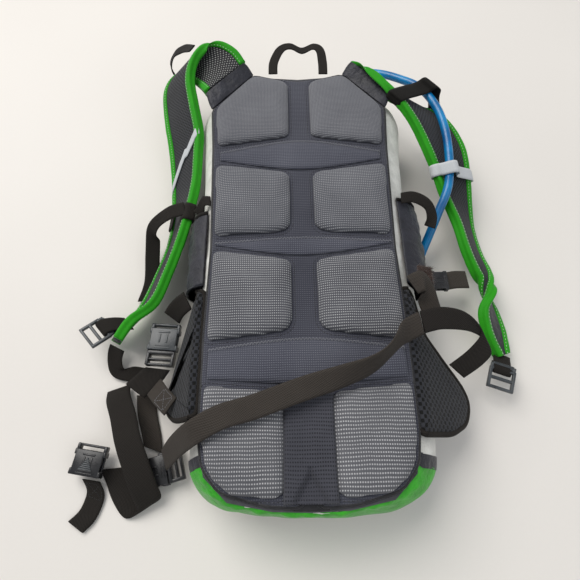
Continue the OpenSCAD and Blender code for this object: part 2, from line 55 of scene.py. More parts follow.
# ---------------------------------------------------------------- camera
CAMERA_AT = (-0.0162, -0.2112, 0.454)
CAMERA_TILT = 24.0
CAMERA_YAW = -0.905
CAMERA_LENS = 27.0
CAMERA_SENSOR = 36.0
camera_data = bpy.data.cameras.new("camera")
camera_data.lens = CAMERA_LENS
camera_data.sensor_width = CAMERA_SENSOR
camera_data.clip_start = 0.01
camera = bpy.data.objects.new("camera", camera_data)
camera.location = CAMERA_AT
camera.rotation_euler = (math.radians(CAMERA_TILT), 0, math.radians(CAMERA_YAW))
scene.collection.objects.link(camera)
scene.camera = camera

MM = 0.001
nodes = frame["nodes"]
BODIES = frame["record"]["behaviour"]["bodies"]
BODY_OF = {node: body for body, members in BODIES.items() for node in members}

# ---------------------------------------------------------------- lines and lofts


def smooth_line(points, n):
    """A smooth line through the points, with n steps between each two, as in the CAD."""
    p = np.array(points, float)
    out = []
    for i in range(len(p) - 1):
        a, b = p[max(i - 1, 0)], p[i]
        c, d = p[i + 1], p[min(i + 2, len(p) - 1)]
        for k in range(n):
            t = k / n
            out.append(0.5 * (2 * b + (c - a) * t + (2 * a - 5 * b + 4 * c - d) * t * t
                              + (3 * b - a - 3 * c + d) * t ** 3))
    out.append(p[-1])
    return np.array(out)


def unit(v):
    """The vector, or each of several, at length 1."""
    v = np.asarray(v, float)
    return v / np.maximum(np.linalg.norm(v, axis=-1, keepdims=True), 1e-9)


def tangents(p):
    """The line's direction at each of its points."""
    ahead = np.vstack([p[1:], p[-1:]])
    behind = np.vstack([p[:1], p[:-1]])
    return unit(ahead - behind)


def lengths(p):
    """The distance along the line to each of its points."""
    return np.concatenate([[0], np.cumsum(np.linalg.norm(np.diff(p, axis=0), axis=1))])


def link(mesh, name):
    """An object for the mesh, in the scene."""
    o = bpy.data.objects.new(name, mesh)
    scene.collection.objects.link(o)
    return o


def loft(name, rings, material, along=None, around=None, caps=True, closed=True, smooth=True):
    """A mesh through the cross sections, with a UV map named weave in metres."""
    rings = np.array(rings, float)
    m, n = rings.shape[:2]
    along = lengths(rings.mean(axis=1)) if along is None else along
    if around is None:
        middle = rings[m // 2]
        loop = np.vstack([middle, middle[:1]]) if closed else middle
        around = lengths(loop)
    verts = rings.reshape(-1, 3).tolist()
    faces, uvs = [], []
    last = n if closed else n - 1
    for j in range(m - 1):
        for i in range(last):
            k = (i + 1) % n
            faces.append((j * n + i, j * n + k, (j + 1) * n + k, (j + 1) * n + i))
            hi = around[i + 1] if i + 1 < len(around) else around[i]
            near, far, lo = along[j], along[j + 1], around[i]
            uvs.append(((near, lo), (near, hi), (far, hi), (far, lo)))
    if caps == "whole":
        for j, order in ((0, range(n - 1, -1, -1)), (m - 1, range(n))):
            faces.append(tuple(j * n + i for i in order))
            uvs.append([(along[j], around[i]) for i in order])
    elif caps and closed:
        for j, order in ((0, range(n - 1, -1, -1)), (m - 1, range(n))):
            c = len(verts)
            verts.append(rings[j].mean(axis=0).tolist())
            loop = list(order)
            for q in range(n):
                a, b = loop[q], loop[(q + 1) % n]
                faces.append((j * n + a, j * n + b, c))
                uvs.append(((along[j], around[a]), (along[j], around[b]), (along[j], around[n // 4])))
    mesh = bpy.data.meshes.new(name)
    mesh.from_pydata(verts, [], faces)
    layer = mesh.uv_layers.new(name="weave")
    flat = [c for face in uvs for uv in face for c in uv]
    layer.data.foreach_set("uv", flat)
    mesh.polygons.foreach_set("use_smooth", [smooth] * len(mesh.polygons))
    o = link(mesh, name)
    mesh.materials.append(material)
    fix_normals(mesh)
    return o


def fix_normals(mesh):
    """Turns every face outwards."""
    bm = bmesh.new()
    bm.from_mesh(mesh)
    bmesh.ops.recalc_face_normals(bm, faces=bm.faces)
    bm.to_mesh(mesh)
    bm.free()


def frames(edges, steps, width=None, trim=0.0):
    """Centre, across, normal and half width along a strip given by its two edges."""
    a = smooth_line([e[0] for e in edges], steps) * MM
    b = smooth_line([e[1] for e in edges], steps) * MM
    c = (a + b) / 2
    t = tangents(c)
    w = unit(b - a)
    n = unit(np.cross(t, w))
    half = np.full(len(c), width / 2 * MM) if width else np.linalg.norm(b - a, axis=1) / 2 - trim * MM
    return c, t, w, n, half


def band_section(cols=7):
    """Section of a woven band: flat faces with rounded edges, as (across, up) pairs."""
    top = [(-1 + 2 * i / (cols - 1), 1.0) for i in range(cols)]
    top[0] = (-0.988, 0.55)
    top[-1] = (0.988, 0.55)
    low = [(x, -y) for x, y in reversed(top)]
    return top + low


def ripple(p, amount, size, seed=0.0):
    """A smooth, repeatable wobble of the fabric, in metres."""
    q = Vector((p[0] / size + seed, p[1] / size - seed, p[2] / size))
    return noise.noise(q) * amount


HEM_EDGE = 1.2 * MM
HEM_RISE = 0.9


def webbing(name, edges, width, material, steps=8, thick=1.5, wobble=0.25, cols=9, hems=(0, 0)):
    """A woven band along its stations; hems are the lengths folded double at its ends."""
    c, _, w, n, half = frames(edges, steps, width)
    section = band_section(cols)
    s = lengths(c)
    fold = np.zeros(len(s))
    for end, at in zip(hems, (s, s[-1] - s)):
        if end:
            fold = np.maximum(fold, np.clip((end * MM - at) / HEM_EDGE + 0.5, 0, 1))
    rings = []
    for i in range(len(c)):
        ring = []
        for x, y in section:
            p = c[i] + w[i] * half[i] * x
            lift = ripple(p, wobble * MM, 0.011, len(name))
            ring.append(p + n[i] * (y * thick / 2 * (1 + HEM_RISE * fold[i]) * MM + lift))
        rings.append(ring)
    around = [(x + 1) * half[0] for x, y in section] + [0.0]
    return loft(name, rings, material, along=s, around=around)


def box_stitch(edges, width, start, long, steps=8, thick=1.5):
    """Rows of stitching round a square with a cross in it, on both faces of a band."""
    c, _, w, n, _ = frames(edges, steps, width)
    s = lengths(c)
    side = (width / 2 - 2.2) * MM
    near, far = start * MM, (start + long) * MM
    corners = [(near, -side), (far, -side), (far, side), (near, side)]
    rows = [(corners[i], corners[(i + 1) % 4]) for i in range(4)]
    rows += [(corners[0], corners[2]), (corners[3], corners[1])]
    groups = []
    for face in (1, -1):
        for (d0, x0), (d1, x1) in rows:
            line, up = [], []
            for f in np.linspace(0, 1, 12):
                d = d0 + (d1 - d0) * f
                k = min(int(np.searchsorted(s, d)), len(s) - 1)
                middle = np.array([np.interp(d, s, c[:, q]) for q in range(3)])
                line.append(middle + w[k] * (x0 + (x1 - x0) * f) + n[k] * face * (thick / 2 + 0.12) * MM)
                up.append(n[k] * face)
            groups.append(stitches(line, np.array(up), 2.4 * MM, 1.6 * MM, 0.26 * MM))
    return groups


def tube(name, path, radius, material, sides=16, caps=True):
    """A round tube along a path."""
    p = np.array(path, float)
    t = tangents(p)
    ref = np.where(np.abs(t[:, 2:3]) > 0.9, np.array([[1.0, 0, 0]]), np.array([[0, 0, 1.0]]))
    side = unit(np.cross(t, ref))
    up = np.cross(side, t)
    ring_a = np.linspace(0, 2 * math.pi, sides, endpoint=False)
    r = np.broadcast_to(np.asarray(radius, float).reshape(-1, 1, 1), (len(p), 1, 1))
    rings = (p[:, None] + r * (side[:, None] * np.cos(ring_a)[None, :, None]
                               + up[:, None] * np.sin(ring_a)[None, :, None]))
    return loft(name, rings, material, caps=caps)


def ready(o, body, replaces=()):
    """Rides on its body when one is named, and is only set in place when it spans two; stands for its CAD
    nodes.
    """
    if replaces:
        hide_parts(*replaces)
    if isinstance(body, str):
        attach(o, body)
    else:
        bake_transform(o)
    return o


# ---------------------------------------------------------------- materials


class Mat:
    """A small helper for node materials."""

    def __init__(self, name):
        self.m = bpy.data.materials.new(name)
        self.m.use_nodes = True
        self.t = self.m.node_tree
        self.s = self.t.nodes["Principled BSDF"]

    def node(self, kind, **values):
        n = self.t.nodes.new(kind)
        for k, v in values.items():
            if hasattr(n, k):
                setattr(n, k, v)
        return n

    def put(self, socket, value):
        if isinstance(value, (int, float, tuple, list)):
            socket.default_value = value
        else:
            self.t.links.new(value, socket)

    def op(self, operation, a, b=None, c=None, clamp=False):
        n = self.node("ShaderNodeMath", operation=operation, use_clamp=clamp)
        for i, v in enumerate((a, b, c)):
            if v is not None:
                self.put(n.inputs[i], v)
        return n.outputs[0]

    def xyz(self, source="Object"):
        """The three parts of the point, or of the weave's UV."""
        at = self.place() if source == "Object" else self.node("ShaderNodeUVMap", uv_map="weave").outputs[0]
        parts = self.node("ShaderNodeSeparateXYZ")
        self.put(parts.inputs[0], at)
        return parts.outputs[:3]

    def noise(self, vector, scale, detail=3, rough=0.5):
        n = self.node("ShaderNodeTexNoise")
        self.put(n.inputs["Vector"], vector)
        n.inputs["Scale"].default_value = scale
        n.inputs["Detail"].default_value = detail
        n.inputs["Roughness"].default_value = rough
        return n.outputs["Fac"]

    def ramp(self, fac, stops):
        n = self.node("ShaderNodeValToRGB")
        self.put(n.inputs[0], fac)
        e = n.color_ramp.elements
        while len(e) < len(stops):
            e.new(0.5)
        for el, (at, colour) in zip(e, stops):
            el.position = at
            el.color = (*colour, 1)
        return n.outputs[0]

    def mix(self, fac, a, b, blend="MIX"):
        n = self.node("ShaderNodeMix", data_type="RGBA", blend_type=blend)
        self.put(n.inputs["Factor"], fac)
        for socket, v in ((n.inputs[6], a), (n.inputs[7], b)):
            self.put(socket, (*v, 1) if isinstance(v, tuple) and len(v) == 3 else v)
        return n.outputs[2]

    def place(self):
        """The point in the piece's own space, in metres."""
        return self.node("ShaderNodeTexCoord").outputs["Object"]

    def wave(self, x, pitch):
        return self.op("SINE", self.op("MULTIPLY", x, 2 * math.pi / pitch))

    def step(self, x, low, high):
        n = self.node("ShaderNodeMapRange", interpolation_type="SMOOTHSTEP")
        self.put(n.inputs[0], x)
        n.inputs[1].default_value = low
        n.inputs[2].default_value = high
        return n.outputs[0]

    def bump(self, height, strength=0.3, distance=0.0005, normal=None):
        n = self.node("ShaderNodeBump")
        n.inputs["Strength"].default_value = strength
        n.inputs["Distance"].default_value = distance
        self.put(n.inputs["Height"], height)
        if normal is not None:
            self.put(n.inputs["Normal"], normal)
        return n.outputs[0]

    def finish(self, colour=None, rough=None, normal=None, **shader):
        if colour is not None:
            self.put(self.s.inputs["Base Color"], colour)
        if rough is not None:
            self.put(self.s.inputs["Roughness"], rough)
        if normal is not None:
            self.put(self.s.inputs["Normal"], normal)
        for k, v in shader.items():
            self.s.inputs[k.replace("_", " ")].default_value = v
        return self.m


def woven(name, dark, light, pitch_u=1.2 * MM, pitch_v=1.5 * MM, contrast=0.5, rough=0.72, sheen=0.25,
          source="UV", wear=0.25, depth=0.25):
    """Plain or ribbed weave: yarns across and along, with slow colour drift and wear."""
    m = Mat(name)
    u, v, _ = m.xyz(source)
    yarn = m.op("MULTIPLY_ADD", m.op("MULTIPLY", m.wave(u, pitch_u), m.wave(v, pitch_v)), 0.5, 0.5)
    place = m.place()
    drift = m.noise(place, 55, 4)
    fuzz = m.noise(place, 900, 2)
    shade = m.op("ADD", m.op("MULTIPLY", yarn, contrast), m.op("MULTIPLY", drift, wear))
    shade = m.op("ADD", shade, m.op("MULTIPLY", fuzz, 0.22), clamp=True)
    colour = m.ramp(shade, [(0.18, dark), (0.95, light)])
    height = m.op("ADD", yarn, m.op("MULTIPLY", fuzz, 0.6))
    n = m.bump(height, depth, 0.0004)
    r = m.op("MULTIPLY_ADD", drift, 0.2, rough - 0.1)
    return m.finish(colour, r, n, Sheen_Weight=sheen, Sheen_Roughness=0.4, Specular_IOR_Level=0.16)


def mesh_knit(name, hole, yarn, pitch_u, pitch_v, cut, depth=0.8):
    """Spacer mesh: staggered open holes between thick yarns. A higher cut makes the holes smaller."""
    m = Mat(name)
    place = m.place()
    u, v, _ = m.xyz("UV")
    warp = m.noise(place, 90, 2)
    u = m.op("MULTIPLY_ADD", warp, 0.0011, u)
    v = m.op("MULTIPLY_ADD", warp, 0.0013, v)
    cells = m.op("MULTIPLY", m.wave(u, pitch_u), m.wave(v, pitch_v))
    open_ = m.step(cells, cut - 0.16, cut + 0.2)
    fuzz = m.noise(place, 1400, 2)
    drift = m.noise(place, 40, 3)
    shaded = tuple(c * 0.45 for c in yarn)
    patchy = m.op("MULTIPLY_ADD", fuzz, 0.7, m.op("MULTIPLY", drift, 0.3))
    yarn_colour = m.ramp(patchy, [(0.3, shaded), (0.75, yarn)])
    colour = m.mix(open_, yarn_colour, hole)
    height = m.op("SUBTRACT", 1.0, open_)
    n = m.bump(m.op("ADD", height, m.op("MULTIPLY", fuzz, 0.25)), depth, 0.0007)
    return m.finish(colour, 0.8, n, Sheen_Weight=0.1, Sheen_Roughness=0.5, Specular_IOR_Level=0.3)


def dotted_knit(name, base, light_base, dot, pitch_x, pitch_y, wide=0.5, tall=0.35):
    """Fine knit with rows of small pale dots; wide and tall are the dots' shares of their pitches."""
    m = Mat(name)
    place = m.place()
    x, y, _ = m.xyz()
    wobble = m.noise(place, 38, 2)
    xs = m.op("MULTIPLY_ADD", wobble, 0.0016, x)
    ys = m.op("MULTIPLY_ADD", wobble, 0.0024, y)
    across_at, along_at = [math.cos(math.pi / 2 * share) for share in (wide, tall)]
    across = m.step(m.op("ABSOLUTE", m.wave(xs, 2 * pitch_x)), across_at - 0.16, min(across_at + 0.14, 0.995))
    along = m.step(m.op("ABSOLUTE", m.wave(ys, 2 * pitch_y)), along_at - 0.16, min(along_at + 0.12, 0.999))
    dots = m.op("MULTIPLY", across, along)
    fuzz = m.noise(place, 1600, 2)
    drift = m.noise(place, 16, 4)
    patchy = m.op("MULTIPLY_ADD", fuzz, 0.5, m.op("MULTIPLY", drift, 0.5))
    ground = m.ramp(patchy, [(0.3, base), (0.72, light_base)])
    strong = m.op("MULTIPLY_ADD", m.noise(place, 30, 2), 0.9, 0.35)
    lit = m.op("MULTIPLY", dots, m.op("MULTIPLY", m.op("MULTIPLY_ADD", fuzz, 0.5, 0.7), strong), clamp=True)
    colour = m.mix(lit, ground, dot)
    rows = m.wave(ys, pitch_y)
    n = m.bump(m.op("ADD", m.op("MULTIPLY", rows, 0.5), dots), 0.35, 0.0004)
    return m.finish(colour, 0.82, n, Sheen_Weight=0.18, Sheen_Roughness=0.5, Specular_IOR_Level=0.25)


def coated(name, dark, light, grid, rough=0.5, crease=0.3):
    """Thin coated nylon with a ripstop grid and small creases, with painted shade in the creases' hollows and
    painted light on their ridges.
    """
    m = Mat(name)
    u, _, w = m.xyz()
    gu = m.step(m.op("ABSOLUTE", m.wave(u, grid * 2)), 0.0, 0.1)
    gv = m.step(m.op("ABSOLUTE", m.wave(w, grid * 2)), 0.0, 0.1)
    lines = m.op("SUBTRACT", 1.0, m.op("MULTIPLY", gu, gv))
    solid = m.place()
    creases = m.noise(solid, 70, 5, 0.6)
    fine = m.noise(solid, 700, 2)
    # painted shade and light: the colour follows the crease noise that also makes the bump, darker in the
    # hollows and lighter on the ridges; the fine noise adds random tone and the grid adds its lines
    shade = m.op("ADD", m.op("MULTIPLY", creases, 0.75), m.op("MULTIPLY", fine, 0.25))
    shade = m.op("SUBTRACT", shade, m.op("MULTIPLY", lines, 0.1))
    colour = m.ramp(shade, [(0.25, dark), (0.7, light)])
    n1 = m.bump(m.op("ADD", m.op("MULTIPLY", fine, 0.4), m.op("MULTIPLY", lines, 0.5)), 0.2, 0.0003)
    n2 = m.bump(creases, crease, 0.004, n1)
    r = m.op("MULTIPLY_ADD", creases, 0.25, rough - 0.12)
    return m.finish(colour, r, n2, Sheen_Weight=0.15, Sheen_Roughness=0.4, Specular_IOR_Level=0.4)


def moulded(name, dark, light, rough=0.38):
    """Moulded plastic with a fine spark texture and worn, slightly paler patches."""
    m = Mat(name)
    place = m.place()
    grain = m.noise(place, 1800, 2)
    wear = m.noise(place, 120, 4, 0.65)
    patchy = m.op("MULTIPLY_ADD", grain, 0.35, m.op("MULTIPLY", wear, 0.65))
    colour = m.ramp(patchy, [(0.3, dark), (0.75, light)])
    r = m.op("MULTIPLY_ADD", wear, 0.22, rough - 0.1)
    return m.finish(colour, r, m.bump(grain, 0.12, 0.0002), Specular_IOR_Level=0.5)


def hose(name):
    """Translucent blue polyurethane, glossy, with faint drawn lines."""
    m = Mat(name)
    _, v, _ = m.xyz("UV")
    haze = m.noise(m.place(), 45, 3)
    lines = m.wave(v, 2.2 * MM)
    colour = m.ramp(m.op("MULTIPLY_ADD", haze, 0.8, m.op("MULTIPLY", lines, 0.06)),
                    [(0.25, (0.0, 0.12, 0.36)), (0.6, (0.002, 0.34, 0.74))])
    r = m.op("MULTIPLY_ADD", haze, 0.14, 0.24)
    return m.finish(colour, r, None, Transmission_Weight=0.25, IOR=1.45, Coat_Weight=0.25, Coat_Roughness=0.2)


# each pad row's ground, lighter ground and dot colours, and the dots' pitches across and along in mm
POD_LOOKS = {
    "pods_1": ((0.075, 0.076, 0.090), (0.15, 0.152, 0.168), (0.29, 0.295, 0.31), 1.65, 1.8),
    "pods_2": ((0.058, 0.060, 0.073), (0.125, 0.127, 0.142), (0.38, 0.385, 0.40), 1.87, 2.2),
    "pods_3": ((0.050, 0.051, 0.063), (0.112, 0.113, 0.126), (0.50, 0.505, 0.51), 1.87, 2.4),
    "pods_4": ((0.072, 0.073, 0.083), (0.145, 0.146, 0.158), (0.55, 0.55, 0.56), 1.97, 3.02),
}
THREADS = {
    "thread_white": ((0.42, 0.55, 0.38), (0.70, 0.80, 0.64)),
    "thread_grey": ((0.16, 0.163, 0.18), (0.40, 0.405, 0.43)),
    "thread_black": ((0.012, 0.012, 0.014), (0.05, 0.05, 0.055)),
}
MAT = {
    "webbing": woven("webbing", (0.0012, 0.001, 0.0009), (0.034, 0.029, 0.025), 1.9 * MM, 1.5 * MM,
                     contrast=0.85, sheen=0.02, wear=0.15, depth=0.9),
    "webbing_brown": woven("webbing_brown", (0.005, 0.004, 0.0033), (0.085, 0.072, 0.061), 1.9 * MM, 1.5 * MM,
                           contrast=0.85, sheen=0.04, wear=0.15, depth=0.9),
    "elastic": woven("elastic", (0.003, 0.0027, 0.0025), (0.030, 0.027, 0.024), 3.0 * MM, 0.8 * MM,
                     contrast=0.4, sheen=0.05),
    "air_mesh": mesh_knit("air_mesh", (0.001, 0.001, 0.0015), (0.050, 0.053, 0.062), 4.2 * MM, 3.6 * MM,
                          0.08),
    "air_mesh_pale": mesh_knit("air_mesh_pale", (0.34, 0.34, 0.33), (0.022, 0.022, 0.026), 4.0 * MM, 3.6 * MM,
                               0.52),
    "wing_mesh": mesh_knit("wing_mesh", (0.0004, 0.0004, 0.0006), (0.036, 0.038, 0.047), 6.0 * MM, 6.8 * MM,
                           0.08, depth=1.0),
    "panel": dotted_knit("panel", (0.026, 0.027, 0.040), (0.062, 0.064, 0.084), (0.12, 0.124, 0.145),
                         2.0 * MM, 2.0 * MM),
    "channel": dotted_knit("channel", (0.034, 0.035, 0.045), (0.075, 0.076, 0.092), (0.004, 0.004, 0.007),
                           1.97 * MM, 3.02 * MM, wide=0.6, tall=0.42),
    "stretch": dotted_knit("stretch", (0.036, 0.038, 0.056), (0.086, 0.089, 0.114), (0.17, 0.174, 0.20),
                           1.9 * MM, 2.1 * MM, wide=0.45, tall=0.4),
    "binding": woven("binding", (0.010, 0.19, 0.004), (0.055, 0.56, 0.020), 1.2 * MM, 1.6 * MM,
                     contrast=0.35, rough=0.6, sheen=0.15),
    "reflective": woven("reflective", (0.46, 0.48, 0.50), (0.84, 0.86, 0.88), 0.9 * MM, 0.9 * MM,
                        contrast=0.3, rough=0.35, sheen=0.0),
    "fuzz": woven("fuzz", (0.045, 0.026, 0.020), (0.20, 0.135, 0.115), 0.7 * MM, 0.7 * MM, source="Object",
                  sheen=0.4),
    "lining": coated("lining", (0.006, 0.006, 0.009), (0.030, 0.030, 0.040), 2.5 * MM, crease=0.5),
    "green": coated("green", (0.010, 0.20, 0.005), (0.050, 0.53, 0.018), 3.2 * MM, crease=0.6),
    "nylon": coated("nylon", (0.004, 0.004, 0.007), (0.030, 0.031, 0.044), 3 * MM, crease=0.8),
    "body": coated("body", (0.55, 0.54, 0.50), (0.88, 0.87, 0.82), 5 * MM, crease=0.45, rough=0.6),
    "black_nylon": coated("black_nylon", (0.006, 0.006, 0.007), (0.026, 0.025, 0.028), 2 * MM, crease=0.5),
    "hose": hose("hose"),
    "plastic_grey": moulded("plastic_grey", (0.022, 0.026, 0.030), (0.085, 0.095, 0.102), 0.3),
    "plastic_black": moulded("plastic_black", (0.005, 0.005, 0.006), (0.028, 0.028, 0.031), 0.28),
    "plastic_blue": moulded("plastic_blue", (0.0, 0.08, 0.25), (0.02, 0.2, 0.5), 0.3),
    "film": moulded("film", (0.2, 0.38, 0.55), (0.4, 0.6, 0.78), 0.25),
    "foam": moulded("foam", (0.03, 0.03, 0.035), (0.08, 0.08, 0.09), 0.7),
}
for name, (ground, lighter, dot, across, along) in POD_LOOKS.items():
    MAT[name] = dotted_knit(name, ground, lighter, dot, across * MM, along * MM)
for name, (dark, light) in THREADS.items():
    MAT[name] = woven(name, dark, light, 0.5 * MM, 0.5 * MM, source="Object")

# ---------------------------------------------------------------- drinking tube
TUBE_D = 9.5
TUBE_ROUTE = [
    [51, 242.6, 56], [56.5, 252, 56.3], [64, 259, 56.8], [76, 264.6, 57.8], [90, 265.6, 59.6],
    [103, 261.8, 61.8], [115, 254.6, 64.6], [129, 242, 69], [142, 227, 74], [153, 208, 77],
    [163, 182, 76], [168, 155, 72], [169, 128, 67], [167, 103, 63], [161, 80, 61],
    [152, 60, 50], [144, 42, 38], [136, 24, 24], [127, 2, 12], [117, -20, 6],
    [108, -45, 5.5], [102, -75, 5.5], [99, -105, 5.5], [98, -130, 5.5], [98, -150, 5.5],
]
tube_path = smooth_line(TUBE_ROUTE, 5) * MM
drink = tube("drink_tube_hose", tube_path, TUBE_D / 2 * MM, MAT["hose"], sides=20)
ready(drink, ("root", "shoulder_r", (0.112, 0, 0.06), (0.150, 0, 0.06)), ["drink_tube"])

# ---------------------------------------------------------------- shoulder straps
STRAP_THICK = 8.0
BINDING_R = 3.0
STRAP_STEPS = 8
PAD_COLS = 13
STRAP_L = [
    [[-62, 247, 90], [-108, 205, 84]], [[-72, 259, 98], [-118, 226, 74]],
    [[-89, 267, 103], [-131, 243, 68]], [[-106, 262, 103], [-148, 262, 57]],
    [[-119, 247, 98], [-161, 258, 52]], [[-124, 224, 90], [-167, 240, 46]],
    [[-119, 194, 80], [-164, 205, 36]], [[-113, 164, 70], [-157, 168, 31]],
    [[-113.5, 134, 62], [-152, 132, 24]], [[-115, 98, 57], [-150, 99, 15]],
    [[-121, 62, 54], [-149, 72, 11]], [[-128, 28, 52], [-152, 40, 10]],
    [[-138, -9, 50], [-162, 3, 10]], [[-150, -42, 48], [-174, -32, 10]],
    [[-172, -60, 46], [-189, -54, 10]], [[-183, -78, 44], [-199, -72, 10]],
]
STRAP_R = [
    [[62, 244, 90], [105, 200, 84]], [[77, 232, 96], [119, 200, 68]],
    [[94, 212, 95], [140, 196, 60]], [[111, 190, 88], [163, 197, 57]],
    [[128, 163, 79], [182, 182, 54]], [[141, 134, 69], [196, 150, 48]],
    [[151, 108, 60], [200, 118, 37]], [[159, 82, 52], [201, 85, 23]],
    [[171, 51, 44], [202, 60, 13]], [[177, 20, 39], [205, 28, 12]],
    [[185, -4, 32], [210, 0, 16]], [[197, -20, 18], [203, -26, 34]],
    [[208, -39, 11], [186, -49, 34]], [[213, -60, 10], [186, -70, 29]],
    [[214, -76, 10], [191, -84, 23]], [[213, -90, 11], [198, -96, 17]],
]


def pad_shape(cols):
    """Section of a padded strap between its bindings: crowned faces that thin towards the edges."""
    xs = np.linspace(-1, 1, cols)
    top = [(x, 0.62 + 0.38 * math.sqrt(max(1 - abs(x) ** 2.6, 0))) for x in xs]
    return top + [(x, -y) for x, y in reversed(top)]


# The bound edge's tape, folded over the pad with a groove where its two halves meet: (outwards, up) in mm
TAPE_FACE = [(-8.2, 3.7), (-7.8, 4.7), (-6.3, 4.8), (-4.2, 5.1), (-1.8, 5.1), (-0.2, 4.2), (0.3, 2.6),
             (-0.5, 0.7)]
TAPE_SECTION = TAPE_FACE + [(x, -y) for x, y in reversed(TAPE_FACE)]
SEAM_IN = 6.3
SEAM_UP = 4.95


def strap(side, edges):
    """A shoulder strap: its pad, the green tape round it and the tape's seams. Returns the strap's frames."""
    body = "shoulder_" + side
    c, t, w, n, half = frames(edges, STRAP_STEPS)
    half_pad = half - (2 * BINDING_R - 1.2) * MM
    section = pad_shape(PAD_COLS)
    rings = []
    for i in range(len(c)):
        ring = []
        for x, y in section:
            p = c[i] + w[i] * half_pad[i] * x
            q = ripple(p, 0.7 * MM, 0.035, 3.1)
            ring.append(p + n[i] * (y * STRAP_THICK / 2 * MM + q))
        rings.append(ring)
    around = [(x + 1) * 0.020 for x, _ in section] + [0.0]
    along = lengths(c)
    pad = loft("strap_pad_" + side, rings, MAT["air_mesh"], along=along, around=around)
    sign = -1 if side == "l" else 1
    crossing = ("root", body, (sign * 0.062, 0, 0.09), (sign * 0.108, 0, 0.09))
    ready(pad, crossing, ["strap_" + side])

    # the second look is on the section's first half on the left strap, on its second half on the right
    pad.data.materials.append(MAT["air_mesh_pale" if side == "l" else "lining"])
    inner_from = 0 if side == "l" else PAD_COLS
    for face in pad.data.polygons:
        if face.index < (len(rings) - 1) * len(section):
            face.material_index = int(inner_from <= face.index % len(section) < inner_from + PAD_COLS)

    tapes, seams = [], []
    for k, out in enumerate((-1, 1)):
        edge = c + w * (half * out)[:, None]
        rings = []
        for i in range(len(edge)):
            uneven = 1 + noise.noise(Vector(edge[i] / 0.012) + Vector((k + 5.0, 0, 0))) * 0.06
            reach = min(1.0, half[i] / (11 * MM))
            rings.append([edge[i] + w[i] * out * x * (reach if x < 0 else 1) * MM + n[i] * y * uneven * MM
                          for x, y in TAPE_SECTION])
        tapes.append(loft("binding_" + side + str(k), rings, MAT["binding"], along=along))
        inset_by = half - np.minimum(SEAM_IN * MM, half * 0.6)
        for face in (1, -1):
            line = c + w * (inset_by[:, None] * out) + n * (face * SEAM_UP * MM)
            seams.append(stitches(line, n * face, 3.6 * MM, 1.7 * MM, 0.34 * MM))
    ready(joined("binding_tape_" + side, tapes), crossing, ["binding_" + side])
    ready(merged("strap_seams_" + side, seams, MAT["thread_white"]), crossing)
    return c, t, w, n, half


def joined(name, objects):
    """One object from several, which are deleted."""
    looks = []
    for o in objects:
        looks += [m for m in o.data.materials if m not in looks]
    verts, faces, uvs, mats = [], [], [], []
    for o in objects:
        base = len(verts)
        verts += [tuple(o.matrix_world @ v.co) for v in o.data.vertices]
        layer = o.data.uv_layers.get("weave")
        for p in o.data.polygons:
            faces.append(tuple(base + i for i in p.vertices))
            uvs += [tuple(layer.data[i].uv) if layer else (0.0, 0.0) for i in p.loop_indices]
            mats.append(looks.index(o.data.materials[p.material_index]))
    mesh = bpy.data.meshes.new(name)
    mesh.from_pydata(verts, [], faces)
    layer = mesh.uv_layers.new(name="weave")
    layer.data.foreach_set("uv", [c for uv in uvs for c in uv])
    mesh.polygons.foreach_set("use_smooth", [True] * len(faces))
    mesh.polygons.foreach_set("material_index", mats)
    for m in looks:
        mesh.materials.append(m)
    for o in objects:
        bpy.data.objects.remove(o, do_unlink=True)
    return link(mesh, name)


def stitches(line, normals, pitch, dash, radius):
    """Short thread dashes along a line, as (verts, faces)."""
    line = np.asarray(line, float)
    normals = unit(normals)
    s = lengths(line)
    verts, faces = [], []
    at = pitch * 0.5
    while at < s[-1] - dash:
        ends = []
        for f in (at, at + dash):
            j = min(int(np.searchsorted(s, f)), len(s) - 1)
            i = max(j - 1, 0)
            q = (f - s[i]) / max(s[j] - s[i], 1e-9)
            ends.append((line[i] * (1 - q) + line[j] * q, normals[j]))
        (a, up), (b, _) = ends
        d = unit(b - a)
        side = unit(np.cross(d, up))
        base = len(verts)
        for f, k in ((0.0, 0.35), (0.25, 1.0), (0.75, 1.0), (1.0, 0.35)):
            p = a * (1 - f) + b * f
            for u, v in ((-1, 0), (0, 1), (1, 0), (0, -1)):
                verts.append(tuple(p + side * radius * k * u + up * radius * k * v))
        for ring in (base, base + 4, base + 8):
            for q in range(4):
                z = (q + 1) % 4
                faces.append((ring + q, ring + z, ring + 4 + z, ring + 4 + q))
        faces.append((base + 3, base + 2, base + 1, base))
        faces.append((base + 12, base + 13, base + 14, base + 15))
        at += pitch
    return verts, faces


def merged(name, groups, material):
    """One object from several (verts, faces)."""
    verts, faces = [], []
    for v, f in groups:
        base = len(verts)
        verts += v
        faces += [tuple(base + i for i in q) for q in f]
    mesh = bpy.data.meshes.new(name)
    mesh.from_pydata(verts, [], faces)
    mesh.polygons.foreach_set("use_smooth", [True] * len(faces))
    mesh.materials.append(material)
    fix_normals(mesh)
    return link(mesh, name)


frame_l = strap("l", STRAP_L)
strap("r", STRAP_R)

# ---------------------------------------------------------------- bands on the straps
BAND_GAP = 1.1
WEB_THICK = 1.5
BAND_UNDER = 12


